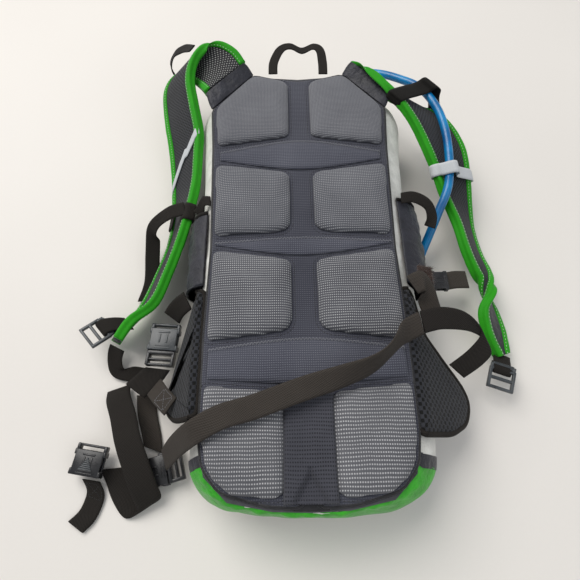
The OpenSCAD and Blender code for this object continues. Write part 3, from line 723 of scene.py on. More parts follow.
def strap_band(name, edges, k, width, material, over=None, thick=1.2):
    """A band round the strap at its station k, with its ends tucked under; over is a tube's middle."""
    e = np.array(edges[k], float)
    mids = np.array([(np.array(x[0]) + np.array(x[1])) / 2 for x in edges])
    t = unit(mids[min(k + 1, len(mids) - 1)] - mids[max(k - 1, 0)])
    w = unit(e[1] - e[0])
    n = unit(np.cross(t, w))
    h = STRAP_THICK / 2 + BAND_GAP + WEB_THICK / 2
    g = BAND_GAP + WEB_THICK / 2
    r = TUBE_D / 2 + BAND_GAP + WEB_THICK
    if over is not None:
        over = np.array(over, float)
        peak = [over - w * (r + 3) - n * 3, over - w * r * 0.6 + n * r * 0.75, over + n * r,
                over + w * r * 0.6 + n * r * 0.75, over + w * (r + 3) - n * 3]
    else:
        peak = [(e[0] + e[1]) / 2 + n * h]
    line = ([e[0] + w * BAND_UNDER - n * h, e[0] + w - n * h, e[0] - w * g, e[0] + w + n * h] + peak
            + [e[1] - w + n * h, e[1] + w * g, e[1] - w - n * h, e[1] - w * BAND_UNDER - n * h])
    pairs = [[p - t * width / 2, p + t * width / 2] for p in line]
    return webbing(name, pairs, width, material, steps=6, thick=thick, wobble=0.15, cols=7)


keeper = strap_band("tube_keeper_band", STRAP_R, 3, 20, MAT["elastic"], (153.8, 211.4, 82.2))
ready(keeper, "shoulder_r", ["tube_keeper"])
shine_r = strap_band("reflector_band_r", STRAP_R, 6, 14, MAT["reflective"], (169, 106.5, 66))
ready(shine_r, "shoulder_r", ["reflector_r"])


def slanted_band(name, strap_frame, width, low, high, face, material):
    """A band that crosses the strap's face at a slant, from station low at one edge to high at the other."""
    c, t, w, n, half = strap_frame
    pairs = []
    for f in np.linspace(0, 1, 15):
        i = min(int(round((low + (high - low) * f) * STRAP_STEPS)), len(c) - 1)
        x = -1.0 + 2.0 * f
        drop = 5.4 if 0.06 < f < 0.94 else 3.0
        p = (c[i] + w[i] * half[i] * x + n[i] * face * drop * MM) / MM
        pairs.append([p - t[i] * width / 2, p + t[i] * width / 2])
    return webbing(name, pairs, width, material, steps=3, thick=1.2, wobble=0.3, cols=7)


shine_l = slanted_band("reflector_band_l", frame_l, 11, 7.0, 8.6, -1, MAT["reflective"])
ready(shine_l, "shoulder_l", ["reflector_l"])
slider_l = strap_band("sternum_loop_band_l", STRAP_L, 10, 20, MAT["webbing"], thick=1.5)
ready(slider_l, "shoulder_l", ["sternum_loop_l"])

# ---------------------------------------------------------------- webbing
WAIST = [
    [[97, -77, 103], [101, -96, 98]], [[82, -87, 107], [90, -100, 97]], [[74, -101, 111], [81, -104, 98]],
    [[64, -112, 113], [69, -115, 99]], [[50, -120, 112], [53, -128, 99]], [[26, -126, 108], [28, -139, 99]],
    [[-7, -133, 103], [-3, -150, 98]], [[-47, -146, 101], [-42, -164, 98.6]],
    [[-75, -153, 101], [-67, -172, 99]], [[-98, -165, 95], [-90, -182, 90]],
    [[-117, -173, 66], [-110, -190, 60]], [[-131, -182, 38], [-127, -198, 30]],
]
HIP_R = [
    [[129, -113, 64], [147, -126, 54]], [[148, -102, 68], [163, -114, 60]], [[161, -90, 72], [171, -103, 64]],
    [[157, -80, 80], [166, -92, 66]], [[141, -72, 90], [147, -88, 80]], [[119, -71, 98], [120, -90, 92]],
    [[98.5, -76, 102], [102, -95, 97]],
]
HIP_LOOP = [
    [[-199, -122, 4], [-181, -116, 5]], [[-198, -134, 11], [-176, -126, 12]],
    [[-190, -153, 20], [-163, -146, 20]],
    [[-181, -176, 26], [-153, -167, 27]], [[-170, -197, 25], [-145, -189, 26]],
    [[-162, -217, 19], [-138, -207, 21]], [[-156, -232, 9], [-135, -221, 12]],
    [[-166, -236, 2.5], [-151, -226, 3]], [[-180, -224, 2], [-160, -216, 2]],
    [[-190, -207, 2], [-168, -202, 2]], [[-198, -196, 2], [-174, -194, 2]],
]
HIP_TAIL = [
    [[-212, -204, 7], [-194, -207, 7]], [[-208, -213, 3], [-190, -218, 3]],
    [[-208, -222, 2], [-192, -228, 2]],
    [[-212, -232, 2], [-197, -240, 2]], [[-220, -240, 2], [-206, -249, 2]],
]
HIP_TAB = [
    [[-118, -138, 53], [-130, -153, 46]], [[-130, -127, 44], [-143, -141, 38]],
    [[-139, -117, 36], [-152, -131, 31]],
]
ADJUSTER = [
    [[-202, -75, 17], [-186, -83, 15]], [[-205, -84, 13], [-188, -92, 11]], [[-204, -96, 8], [-187, -99, 7]],
    [[-197, -107, 4], [-184, -98, 5]], [[-182, -111, 2.4], [-176, -97, 4]],
    [[-164, -114, 2], [-160, -100, 3]],
]
HIP_WEB_L = [
    [[-172, -126, 2], [-152, -126, 2]], [[-169, -145, 2], [-149, -145, 2]],
    [[-163, -163, 2], [-143, -165, 2]],
    [[-158, -176, 3], [-140, -182, 3]],
]
SIDE_STRAP = [
    [[-157, -103.8, 30], [-133, -107, 30]], [[-165, -108, 25], [-145, -122, 25]],
    [[-178, -118, 20], [-158, -132, 20]],
]
SIDE_TAB = [
    [[-118, -38, 62], [-110, -54, 60]], [[-131, -42, 52], [-120, -58, 48]],
    [[-141, -50, 40], [-126, -61, 38]],
]
STERNUM_L = [
    [[-129, 75, 57.5], [-125, 55, 56]], [[-144, 73, 53], [-142, 54, 50]],
    [[-158, 68, 46], [-156, 50, 42]], [[-170, 58, 40], [-161, 44, 36]], [[-174, 44, 30], [-160, 42, 26]],
    [[-177, 26, 20], [-160, 27, 16]], [[-178, 0, 8], [-162, 3, 6]], [[-184, -22, 3], [-168, -20, 3]],
]
STERNUM_R = [
    [[177, -2, 30], [179, -24, 29]], [[164, -3, 33], [165, -25, 31]], [[153.8, -6, 35], [153.6, -27, 33]],
]
COMPRESS = [
    [[94, -38, 92], [104, -54, 88]], [[106, -34, 94], [110, -52, 90]], [[117, -40, 88], [106, -56, 86]],
    [[124, -55, 79], [106, -60, 80]], [[129, -68, 72], [111, -72, 75]],
]
POCKET_LOOP_R = [
    [[104, 65, 80], [104, 53, 77]], [[119, 68, 78], [117, 56, 74]], [[136, 63, 71], [131, 53, 67]],
    [[144, 50, 62], [135, 46, 60]], [[142, 36, 55], [134, 41, 53]],
]
POCKET_LOOP_L = [
    [[-95, 64, 80], [-94, 52, 78]], [[-104, 66, 76], [-101, 55, 74]], [[-110, 58, 70], [-103, 50, 68]],
    [[-113, 55, 64], [-108, 50, 63]],
]
HANDLE = [
    [[-35, 239, 82], [-24, 239, 82]], [[-34, 257, 84], [-23, 256, 84]], [[-25, 279, 86], [-15, 273, 86]],
    [[-9, 287, 86], [-7, 276, 86]], [[6, 284, 82], [6, 273, 82]], [[21, 286, 86], [19, 275, 86]],
    [[33, 277, 86], [23, 271, 86]], [[36, 256, 84], [25, 255, 84]], [[36, 238, 82], [25, 238, 82]],
]
LOAD_LOOP = [
    [[-122, 268, 99], [-128, 258, 98]], [[-137, 284, 88], [-142, 274, 84]],
    [[-153, 292, 74], [-156, 281, 71]],
    [[-162, 286, 62], [-160, 276, 58]], [[-158, 275, 55], [-154, 268, 51]],
]
# how much of each end is folded double and sewn
HEMS = {"sternum_webbing_left": (0, 12), "side_strap_left": (0, 12), "adjuster_left": (0, 10),
        "compress_webbing_right": (12, 0)}
for name, edges, width, material, body, node, slot in (
    ("waist_webbing", WAIST, 20, "webbing_brown", "root", "waist_web", "webbing"),
    ("hip_web_left", HIP_WEB_L, 20, "webbing_brown", "root", "hip_web_l", "webbing"),
    ("hip_tab_left", HIP_TAB, 20, "webbing_brown", "hip_l", "hip_tab_l", "webbing"),
    ("adjuster_left", ADJUSTER, 17, "webbing", "root", "adjuster_l", "webbing"),
    ("side_strap_left", SIDE_STRAP, 25, "webbing", "side_plug", "side_strap_l", "webbing"),
    ("side_tab_left", SIDE_TAB, 20, "webbing", "hip_l", "side_tab_l", "webbing"),
    ("sternum_webbing_left", STERNUM_L, 16, "webbing", "shoulder_l", "sternum_web_l", "webbing"),
    ("sternum_webbing_right", STERNUM_R, 20, "webbing_brown", "shoulder_r", "sternum_web_r", "webbing"),
    ("compress_webbing_right", COMPRESS, 20, "webbing_brown", "root", "compress_web_r", "webbing"),
    ("pocket_loop_right", POCKET_LOOP_R, 12, "webbing", "root", "pocket_loop_r", "webbing"),
    ("pocket_loop_left", POCKET_LOOP_L, 11, "webbing", "root", "pocket_loop_l", "webbing"),
    ("handle_webbing", HANDLE, 11, "webbing", "handle", "grab_handle", "webbing"),
    ("load_loop_left", LOAD_LOOP, 12, "elastic", "shoulder_l", "load_loop_l", "elastic"),
):
    ready(webbing(name, edges, width, MAT[material], hems=HEMS.get(name, (0, 0))), body, [node])
loop_parts = [webbing("loop_a", HIP_LOOP, 25, MAT["webbing"]),
              webbing("loop_b", HIP_TAIL, 18, MAT["webbing"], hems=(0, 12))]
ready(joined("hip_loop_left", loop_parts), "root", ["hip_loop_l"])
hip_right = webbing("hip_webbing_right", HIP_R, 20, MAT["webbing"])
ready(hip_right, ("root", "hip_r", (0.100, -0.086, 0.1), (0.124, -0.08, 0.096)), ["hip_web_r"])

LADDER_LOOPS = {
    "l": [[[-190.7, -46.6, 19], [-177.3, -61.4, 19]], [[-201, -48, 24.5], [-188, -63, 24.5]],
          [[-213, -51, 26.2], [-200, -66, 26.2]], [[-218, -55.3, 23.4], [-204.6, -70.1, 23.4]],
          [[-213.5, -51, 20.6], [-200.5, -66, 20.6]], [[-201, -48, 18], [-188, -63, 18]]],
    "r": [[[196.5, -90, 15.5], [213.5, -96, 13.5]], [[193, -99, 19.5], [210, -105, 18.5]],
          [[191.6, -106, 22], [208.6, -112, 21]], [[190, -111, 19.5], [207, -117, 18.5]],
          [[191.6, -106, 16], [208.6, -112, 15]], [[194, -98, 14], [211, -104, 12.5]]],
}
for side, edges in LADDER_LOOPS.items():
    ready(webbing("ladder_loop_" + side, edges, 18, MAT["webbing"], steps=6), "shoulder_" + side)
ready(merged("hip_tail_stitches", box_stitch(HIP_TAIL, 18, 3, 14), MAT["thread_black"]), "root")
ready(merged("hip_tab_stitches", box_stitch(HIP_TAB, 20, 4, 16), MAT["thread_grey"]), "hip_l")

FUZZY = np.array([[107, -24, 86.5], [121, -26, 84.5], [121, -41, 82.5], [107, -44, 84.5]], float)
LOOPS = 1500
LOOP_TALL = 1.7 * MM
LOOP_R = 0.11 * MM


def fuzzy_patch():
    """A brown hook-and-loop tab: a thin base with curled loops standing on it."""
    rng = np.random.default_rng(7)
    a, b, c, d = FUZZY
    stations = [[a, b], [(a + d) / 2, (b + c) / 2], [d, c]]
    base = webbing("fuzzy_base", stations, 14, MAT["fuzz"], thick=1.6)
    a, b, c, d = FUZZY * MM
    up = unit(np.cross(b - a, d - a))
    up = up if up[2] > 0 else -up
    verts, faces = [], []
    for _ in range(LOOPS):
        u, v = rng.random(2)
        foot = (a * (1 - u) + b * u) * (1 - v) + (d * (1 - u) + c * u) * v + up * 0.5 * MM
        lean = rng.normal(0, 0.5, 3) + up * 0.9
        bend = rng.normal(0, 0.6, 3)
        at = len(verts)
        for f in (0, 0.5, 1):
            q = foot + (lean * f + bend * f * f) * LOOP_TALL
            for k in range(3):
                turn = 2 * math.pi * k / 3
                around = np.array([math.cos(turn), math.sin(turn), 0])
                verts.append(tuple(q + around * LOOP_R * (1 - 0.5 * f)))
        for ring in (at, at + 3):
            for k in range(3):
                m = (k + 1) % 3
                faces.append((ring + k, ring + m, ring + 3 + m, ring + 3 + k))
        faces += [(at + 2, at + 1, at), (at + 6, at + 7, at + 8)]
    hairs = merged("fuzzy_loops", [(verts, faces)], MAT["fuzz"])
    ready(joined("hook_loop_tab", [base, hairs]), "root")


fuzzy_patch()

# ---------------------------------------------------------------- bag
BAG_HALF = [
    [0, 232], [36, 235], [58, 233], [86, 206], [99, 176], [95, 120], [91, 0],
    [93, -100], [92, -176], [86, -206], [66, -225], [30, -232], [0, -233],
]
# how much of the bulge the side has at each height, as (height, share)
BAG_RINGS = [(12.5, -1.6), (14, -0.8), (18, -0.25), (26, 0.35), (38, 0.9), (50, 1), (60, 0.8), (70, 0.4),
             (77, 0.0), (80.4, -0.35)]
BULGE = 18
BAG_LEAN = 4
AROUND = 300
# the length grows by the bulge over these, at the top and at the foot
BAG_LONG_TOP = 400
BAG_LONG_FOOT = 1100
# above this height the foot draws in, by this share for each mm
BAG_TUCK_Z = 79.0
BAG_TUCK = 0.013


def evenly(loop, count):
    """The closed outline as count points with equal steps."""
    ring = np.vstack([loop, loop[:1]])
    s = lengths(ring)
    at = np.linspace(0, s[-1], count, endpoint=False)
    return np.column_stack([np.interp(at, s, ring[:, 0]), np.interp(at, s, ring[:, 1])])


def closed_line(half, count):
    """Points of a mirrored outline, evenly spaced, clockwise from the top middle."""
    p = smooth_line([[x, y, 0] for x, y in half], 6)[:, :2]
    left = [[-x, y] for x, y in p[::-1] if x > 0.01]
    return evenly(np.vstack([p, left]), count)


bag_line = closed_line(BAG_HALF, AROUND)
ring_curve = smooth_line([[z, s, 0] for z, s in BAG_RINGS], 6)


def bag_share(z):
    return float(np.interp(z, ring_curve[:, 0], ring_curve[:, 1]))


def bag_point(u, z, off=0.0):
    """A point of the bag's side in millimetres: u goes round from 0 to 1 from the top middle."""
    f = (u % 1.0) * AROUND
    i = int(f) % AROUND
    q = bag_line[i] * (1 - f % 1) + bag_line[(i + 1) % AROUND] * (f % 1)
    share = bag_share(z)
    b = BULGE * share + off
    stretch = 1 + b / (BAG_LONG_FOOT if q[1] < 0 else BAG_LONG_TOP) + off / 250
    if q[1] < 0:
        stretch -= max(0.0, z - BAG_TUCK_Z) * BAG_TUCK
    return np.array([q[0] * (1 + b / 94) + BAG_LEAN * max(share, 0), q[1] * stretch, z])


def bag_wrinkle(u, z):
    """Folds of the shell: slack creases at mid depth and sewing puckers at the rim."""
    p = Vector((u * 26, z * 0.035, 2.0))
    slack = noise.noise(p) * 1.7 + noise.noise(p * 2.3 + Vector((5, 1, 0))) * 0.8
    rim = max(0.0, 1 - abs(z - 75) / 9)
    pucker = math.sin(u * 2 * math.pi * 96 + noise.noise(p * 3) * 3) * 0.45 * rim
    return slack + pucker - 0.9


def bag_sheet(name, u0, u1, z0, z1, cols, rows, off, material, thick, pucker, count):
    """A panel on the bag's side, with a rolled hem and count puckers round the whole bag."""
    rings = []
    for i in range(cols + 1):
        u = u0 + (u1 - u0) * i / cols
        outer, inner = [], []
        for j in range(rows + 1):
            f = j / rows
            z = z0 + (z1 - z0) * f
            hem = 0.5 * math.exp(-min(f, 1 - f) * rows / 1.3)
            fold = pucker * math.sin(u * count * 2 * math.pi + 2 * noise.noise(Vector((u * 30, z * 0.08, 7))))
            fold *= (0.35 + abs(2 * f - 1))
            lift = off + bag_wrinkle(u, z) + fold + hem
            outer.append(bag_point(u, z, lift) * MM)
            inner.append(bag_point(u, z, lift - thick) * MM)
        rings.append(outer + inner[::-1])
    return loft(name, rings, material)


bag_rings = []
for z in np.concatenate([np.linspace(12.6, 20, 6), np.linspace(22, 76, 28), np.linspace(77, 80.3, 5)]):
    bag_rings.append([bag_point(i / AROUND, z, bag_wrinkle(i / AROUND, z)) * MM for i in range(AROUND)])
shell = loft("bag_body", bag_rings, MAT["body"])
ready(shell, "root", ["body_shell"])


def round_at(level):
    """How far round, on the right and on the left, the bag's outline drops below a level."""
    y = bag_line[:, 1]
    below = np.nonzero(y < level)[0]
    first, last = below[0], below[-1]
    start = first - (level - y[first]) / (y[first - 1] - y[first])
    end = last + (level - y[last]) / (y[last + 1] - y[last])
    return start / AROUND, end / AROUND


def sewn_sheet(o, node):
    """A sewn-on cloth panel rides on the bag."""
    ready(o, "root", [node])


# How far round the bag each panel reaches, as shares of the way round
band_from, band_to = round_at(-199)
bottom = bag_sheet("bottom_band_sheet", band_from, band_to, 29, 79.6, 150, 18, 1.0, MAT["green"],
                   thick=0.8, pucker=0.45, count=40)
sewn_sheet(bottom, "bottom_band")
patch_from, patch_to = round_at(-190)
for side, (u0, u1) in (("r", (patch_from, band_from + 0.001)), ("l", (band_to - 0.001, patch_to))):
    patch = bag_sheet("corner_patch_" + side, u0, u1, 28, 79.8, 34, 14, 0.9, MAT["nylon"],
                      thick=0.9, pucker=0.35, count=70)
    sewn_sheet(patch, "corner_patches")

# ---------------------------------------------------------------- back panel
PANEL_HALF = [
    [0, 224], [34, 230], [53, 236], [98, 182], [94, 127], [89, 0], [91, -88],
    [90, -172], [86, -198], [72, -216], [36, -226], [8, -228],
]
PANEL_NOTCH = 14
PANEL_Z = 80.2
POD_Z = 84.0
POD_H = 8.0


def rounded(points, radius, arc=5):
    """The outline with its corners rounded, by one radius or by one for each corner."""
    p = np.array(points, float)
    radii = np.broadcast_to(radius, len(p))
    out = []
    for i in range(len(p)):
        a, b, c = p[i - 1], p[i], p[(i + 1) % len(p)]
        ra = min(radii[i], np.linalg.norm(a - b) * 0.45)
        rc = min(radii[i], np.linalg.norm(c - b) * 0.45)
        s, e = b + unit(a - b) * ra, b + unit(c - b) * rc
        for k in range(arc + 1):
            t = k / arc
            out.append((1 - t) ** 2 * s + 2 * t * (1 - t) * b + t * t * e)
    return np.array(out)


def inset(loop, d):
    """The outline moved inwards by d."""
    t = unit(np.roll(loop, -1, axis=0) - np.roll(loop, 1, axis=0))
    n = np.column_stack([t[:, 1], -t[:, 0]])
    area = np.sum(loop[:, 0] * np.roll(loop[:, 1], -1) - np.roll(loop[:, 0], -1) * loop[:, 1])
    return loop - n * d * (1 if area > 0 else -1)


def flat_pad(name, loop, levels, material):
    """A pad from its plan: levels are (height in mm, inset in mm)."""
    rings = [[(x * MM, y * MM, z * MM) for x, y in inset(loop, d)] for z, d in levels]
    return loft(name, rings, material)


panel_left = [[-x, y] for x, y in PANEL_HALF[::-1] if x > 0.01]
panel_loop = PANEL_HALF + [[0, PANEL_HALF[-1][1] + PANEL_NOTCH]] + panel_left
panel_loop = evenly(rounded(panel_loop, 6), 260)
PANEL_EDGE = [(0, 1.2), (0.6, 0.3), (2.4, 0), (3.3, 0.8), (3.5, 2.6)]
panel = flat_pad("panel_base_knit", panel_loop, [(PANEL_Z + z, d) for z, d in PANEL_EDGE], MAT["panel"])
ready(panel, "root", ["panel_base"])
piping_path = [(x * MM, y * MM, (PANEL_Z + 0.6) * MM) for x, y in inset(panel_loop, -0.6)]
piping_path.append(piping_path[0])
piping = tube("panel_piping", piping_path, 1.7 * MM, MAT["black_nylon"], sides=10, caps=False)
ready(piping, "root")

CHANNEL = 10
# node, plan of the right pad, the radius of each of its corners, and look
PODS = (
    ("pods_row_1", [[CHANNEL, 136], [92, 123], [96, 181], [53, 234], [34, 228], [CHANNEL, 223]],
     [8, 8, 8, 11, 7, 12], "pods_1"),
    ("pods_row_2", [[CHANNEL, 15], [89, 10], [92, 102], [CHANNEL, 90]], [14, 8, 7, 9], "pods_2"),
    ("pods_row_3", [[CHANNEL, -88], [91, -98], [89, -2], [CHANNEL, -13]], [14, 8, 7, 9], "pods_3"),
    ("pods_row_4", [[19, -224], [64, -222], [85, -202], [90, -172], [91, -132], [19, -139]],
     [9, 12, 10, 8, 8, 9], "pods_4"),
)
POD_ROUND = 9.5
POD_DEPTHS = (0, 0.5, 1.4, 2.8, 4.6, 6.8, 9.5, 14, 20, 26)
VOXEL = 3.0 * MM
PRESSURE = 4.0
PUFF_FRAMES = 20
POD_CAP = 2.4 * MM


def puffed(name, loop, material):
    """A stuffed pad from its plan: rings drawn in to the middle over a rounded shoulder."""
    middle = (loop.min(axis=0) + loop.max(axis=0)) / 2
    size = np.ptp(loop, axis=0)
    rings = []
    for d in POD_DEPTHS:
        scale = 1 - 2 * d / size
        z = POD_Z - 1 + (POD_H - 0.4) * math.sqrt(1 - (1 - min(d / POD_ROUND, 1)) ** 2) + 0.03 * d
        rings.append([(x * MM, y * MM, z * MM) for x, y in middle + (loop - middle) * scale])
    return loft(name, rings, material)


def swell(o, floor_z, cap):
    """Cloth pressure puffs the pad up by at most cap; its sewn underside stays where it is."""
    modifier = o.modifiers.new("remesh", "REMESH")
    modifier.mode = "VOXEL"
    modifier.voxel_size = VOXEL
    modifier.use_smooth_shade = True
    even = o.modifiers.new("even", "SMOOTH")
    even.factor = 0.6
    even.iterations = 7
    apply_modifiers(o)
    group = o.vertex_groups.new(name="sewn")
    start = np.array([v.co[:] for v in o.data.vertices])
    held = [i for i, c in enumerate(start) if c[2] < floor_z + 1.6 * MM]
    group.add(held, 1.0, "REPLACE")
    cloth = o.modifiers.new("cloth", "CLOTH")
    s = cloth.settings
    s.quality = 5
    s.mass = 0.2
    s.tension_stiffness = 14
    s.compression_stiffness = 14
    s.shear_stiffness = 6
    s.bending_stiffness = 0.6
    s.use_pressure = True
    s.uniform_pressure_force = PRESSURE
    s.vertex_group_mass = "sewn"
    s.effector_weights.gravity = 0
    cloth.collision_settings.use_collision = False
    cloth.collision_settings.use_self_collision = False
    cloth.point_cache.frame_start = 1
    cloth.point_cache.frame_end = PUFF_FRAMES
    for f in range(1, PUFF_FRAMES + 1):
        scene.frame_set(f)
    apply_modifiers(o)
    d = np.array([v.co[:] for v in o.data.vertices]) - start
    size = np.linalg.norm(d, axis=1, keepdims=True)
    d *= np.minimum(1, cap / np.maximum(size, 1e-9))
    moved = start + d
    moved[:, 2] = np.maximum(moved[:, 2], floor_z)
    o.data.vertices.foreach_set("co", moved.ravel())
    o.vertex_groups.clear()
    scene.frame_set(1)


def apply_modifiers(o):
    """Gives the object its shape with its modifiers, and takes them off."""
    bpy.context.view_layer.update()
    graph = bpy.context.evaluated_depsgraph_get()
    mesh = bpy.data.meshes.new_from_object(o.evaluated_get(graph), depsgraph=graph)
    old = o.data
    o.modifiers.clear()
    o.data = mesh
    bpy.data.meshes.remove(old)


def soften(o):
    """One level of subdivision."""
    o.modifiers.new("smooth", "SUBSURF").levels = 1
    apply_modifiers(o)
    o.data.polygons.foreach_set("use_smooth", [True] * len(o.data.polygons))


def pod_loop(plan, corner, sign, count):
    """A pod's plan, to the right of the middle or mirrored to the left of it."""
    return evenly(rounded([[x * sign, y] for x, y in plan], corner, 6), count)


for node, plan, corner, look in PODS:
    outlines = [inset(pod_loop(plan, corner, sign, 110), 0.8) for sign in (1, -1)]
    parts = [puffed(node + "_part", outline, MAT[look]) for outline in outlines]
    pods = joined(node + "_pads", parts)
    swell(pods, (POD_Z - 1) * MM, POD_CAP)
    pods.data.materials.clear()
    pods.data.materials.append(MAT[look])
    soften(pods)
    ready(pods, "root", [node])

NOTCH_Y = -203
BRIDGE_HALF = 21.3
BRIDGE_TOP = -141.2
BRIDGE_FOOT = -226.2
BRIDGE_ROUND = 4.5


def bridge_height(x, y):
    """The stretch cloth between the lowest pads, pinched down into a tuck at the foot."""
    edge = min(BRIDGE_HALF + 0.2 - abs(x), BRIDGE_TOP + 0.2 - y, y - BRIDGE_FOOT + 0.3, BRIDGE_ROUND)
    low = 1 - math.sqrt(max(0.0, 1 - (1 - edge / BRIDGE_ROUND) ** 2))
    open_ = max(0.0, NOTCH_Y - y) * 0.62
    tuck_in = np.clip((open_ + 2.2 - abs(x)) / 4.4, 0, 1) if y < NOTCH_Y + 3 else 0.0
    return POD_Z + 5.0 + 0.5 * ripple((x, y, 0), 1, 9, 2.0) - 4.2 * max(low, tuck_in)


rings = []
for y in np.linspace(BRIDGE_TOP, BRIDGE_FOOT, 60):
    xs = np.linspace(-BRIDGE_HALF, BRIDGE_HALF, 37)
    ring = [(x * MM, y * MM, bridge_height(x, y) * MM) for x in xs]
    rings.append(ring + [(x * MM, y * MM, (PANEL_Z + 2.6) * MM) for x in xs[::-1]])
bridge = loft("lumbar_bridge", rings, MAT["channel"])
ready(bridge, "root")
tuck_loop = rounded([[-15, -231], [15, -231], [0, -207]], 2)
tuck_levels = [(PANEL_Z - 0.6, 0.5), (PANEL_Z, 0), (PANEL_Z + 0.6, 1)]
ready(flat_pad("notch_tuck", tuck_loop, tuck_levels, MAT["black_nylon"]), "root")

# the seam round each pod
seam_groups = []
for node, plan, corner, look in PODS:
    for sign in (1, -1):
        ring = inset(pod_loop(plan, corner, sign, 120), -0.9)
        line = np.column_stack([ring * MM, np.full(len(ring), (PANEL_Z + 3.6) * MM)])
        line = np.vstack([line, line[:1]])
        up = np.tile([0, 0, 1.0], (len(line), 1))
        seam_groups.append(stitches(line, up, 3.4 * MM, 2.2 * MM, 0.3 * MM))
pod_seams = merged("pod_seam_stitches", seam_groups, MAT["thread_black"])
ready(pod_seams, "root")

# the three bands of stretch cloth across the pads
LENS_HALF = 86
ZIGZAG = 1.5
# each band's height at the middle and at the side, of its upper edge and of its lower edge
LENSES = ((132, 117, 93, 106), (10, 5, -10, 2), (-93, -102, -134, -129))
lens_xs = np.linspace(-LENS_HALF, LENS_HALF, 61)


def lens_edge(mid, side):
    pts = smooth_line([[-LENS_HALF, side, 0], [0, mid, 0], [LENS_HALF, side, 0]], 20)
    return np.interp(lens_xs, pts[:, 0], pts[:, 1])


def lens(number, top, low):
    """A band of stretch cloth, crowned between its edges, with the zigzag seam along its upper edge."""
    rings = []
    for i, x in enumerate(lens_xs):
        ring = []
        for f in np.linspace(0, 1, 9):
            crown = 1.3 * math.sin(math.pi * f) + 0.5 * math.cos(x / 30)
            crease = ripple((x, top[i], f * 20), 0.8, 16, 4.0)
            ring.append((x * MM, (top[i] * (1 - f) + low[i] * f) * MM, (POD_Z + 1.0 + crown + crease) * MM))
        for f in np.linspace(1, 0, 9):
            ring.append((x * MM, (top[i] * (1 - f) + low[i] * f) * MM, (POD_Z - 0.2) * MM))
        rings.append(ring)
    cloth = loft("stretch_panel_" + number, rings, MAT["stretch"])
    zig = []
    count = int(2 * LENS_HALF / ZIGZAG)
    for k in range(count + 1):
        x = -LENS_HALF + 2 * LENS_HALF * k / count
        y = np.interp(x, lens_xs, top) - 1.6 + (1.1 if k % 2 else -1.1)
        zig.append((x * MM, y * MM, (POD_Z + 2.3) * MM))
    return cloth, tube("stretch_zigzag_" + number, zig, 0.28 * MM, MAT["thread_grey"], sides=5)


for i, (top_mid, top_side, low_mid, low_side) in enumerate(LENSES):
    low = lens_edge(low_mid, low_side)
    top = np.maximum(lens_edge(top_mid, top_side), low + 0.6)
    cloth, zigzag = lens(str(i + 1), top, low)
    ready(zigzag, "root")
    ready(cloth, "root", ["stretch_panels"])

# ---------------------------------------------------------------- yokes
# the right yoke's stations, in mm; the left one is its mirror image
YOKE = [[[53, 236.5, 82.6], [99.5, 182.5, 82.2]], [[56, 240, 85.5], [102.5, 188, 84]],
        [[60, 244, 89.5], [105.5, 197, 85.5]], [[63.5, 245, 92.5], [107, 203, 86.5]]]
for sign, side in ((-1, "l"), (1, "r")):
    edges = [[[p[0] * sign, p[1], p[2]] for p in pair] for pair in YOKE]
    c, t, w, n, half = frames(edges, 6)
    rings = []
    for i in range(len(c)):
        ring = []
        for x, y in band_section(15):
            p = c[i] + w[i] * half[i] * x
            ring.append(p + n[i] * (y * 1.5 * MM + ripple(p, 0.8 * MM, 0.012, 2.0)))
        rings.append(ring)
    yoke = loft("yoke_" + side, rings, MAT["nylon"])
    ready(yoke, "root", ["yokes"])

# ---------------------------------------------------------------- hip wings
WING_Z = 81
WING_T = 5.0
# the height and inset of the plate's outline, from its underside to its crown
WING_LEVELS = ((-WING_T, 3.0), (-WING_T + 0.6, 1.2), (-WING_T + 2, 0.6), (-1.4, 0.8), (-0.2, 2.6), (0.5, 7),
               (0.9, 14))
# where the hinge line is, how steeply the wing falls, in degrees, and how low it reaches
WINGS = {"l": (-99, 57, -160), "r": (96, 38, -176)}


def wing_plan(low):
    """The wing's outline, from its hinge line outwards."""
    return [[-6, -44], [8, -46], [16, -84], [46, -112], [70, -132],
            [76, low + 30], [66, low + 12], [40, low + 2], [-6, low]]


def plan_uv(o, plan):
    """Lay the weave flat over a plate, where plan is each vertex's place in its pattern, in mm."""
    at = np.array(plan, float)[[corner.vertex_index for corner in o.data.loops]] * MM
    o.data.uv_layers["weave"].data.foreach_set("uv", at.ravel())


def wing(side):
    """A hip wing: a padded plate that slopes down from the panel, and the binding round it."""
    root_x, slope, low = WINGS[side]
    sign = -1 if side == "l" else 1
    a = math.radians(slope)
    loop = evenly(rounded(wing_plan(low), 9, 6), 150)

    def place(x, y, z):
        """From the plate's plan to the scene; the strip on the panel stays level."""
        z += noise.noise(Vector((x / 26, y / 26, 1.0))) * 1.2
        if x < 2:
            sunk = 1.4 - (1 - max(0.0, (x + 6) / 8)) * 0.5
            return np.array([root_x + sign * x, y, WING_Z + z + sunk]) * MM
        return np.array([root_x + sign * (x * math.cos(a) + z * math.sin(a)), y,
                         WING_Z - x * math.sin(a) + z * math.cos(a)]) * MM

    outlines = [inset(loop, d) for _, d in WING_LEVELS]
    rings = [[place(x, y, z) for x, y in outline] for outline, (z, _) in zip(outlines, WING_LEVELS)]
    plate = loft("wing_pad_" + side, rings, MAT["wing_mesh"], caps="whole")
    plan_uv(plate, np.vstack(outlines))
    crossing = ("root", "hip_" + side, ((root_x - sign * 6) * MM, 0, WING_Z * MM),
                ((root_x + sign * 10) * MM, 0, WING_Z * MM))
    ready(plate, crossing, ["wing_" + side])
    edge = [place(x, y, -WING_T / 2) for x, y in loop]
    edge.append(edge[0])
    bind = tube("wing_binding_" + side, edge, 2.7 * MM, MAT["webbing"], sides=12, caps=False)
    ready(bind, crossing)


wing("l")
wing("r")

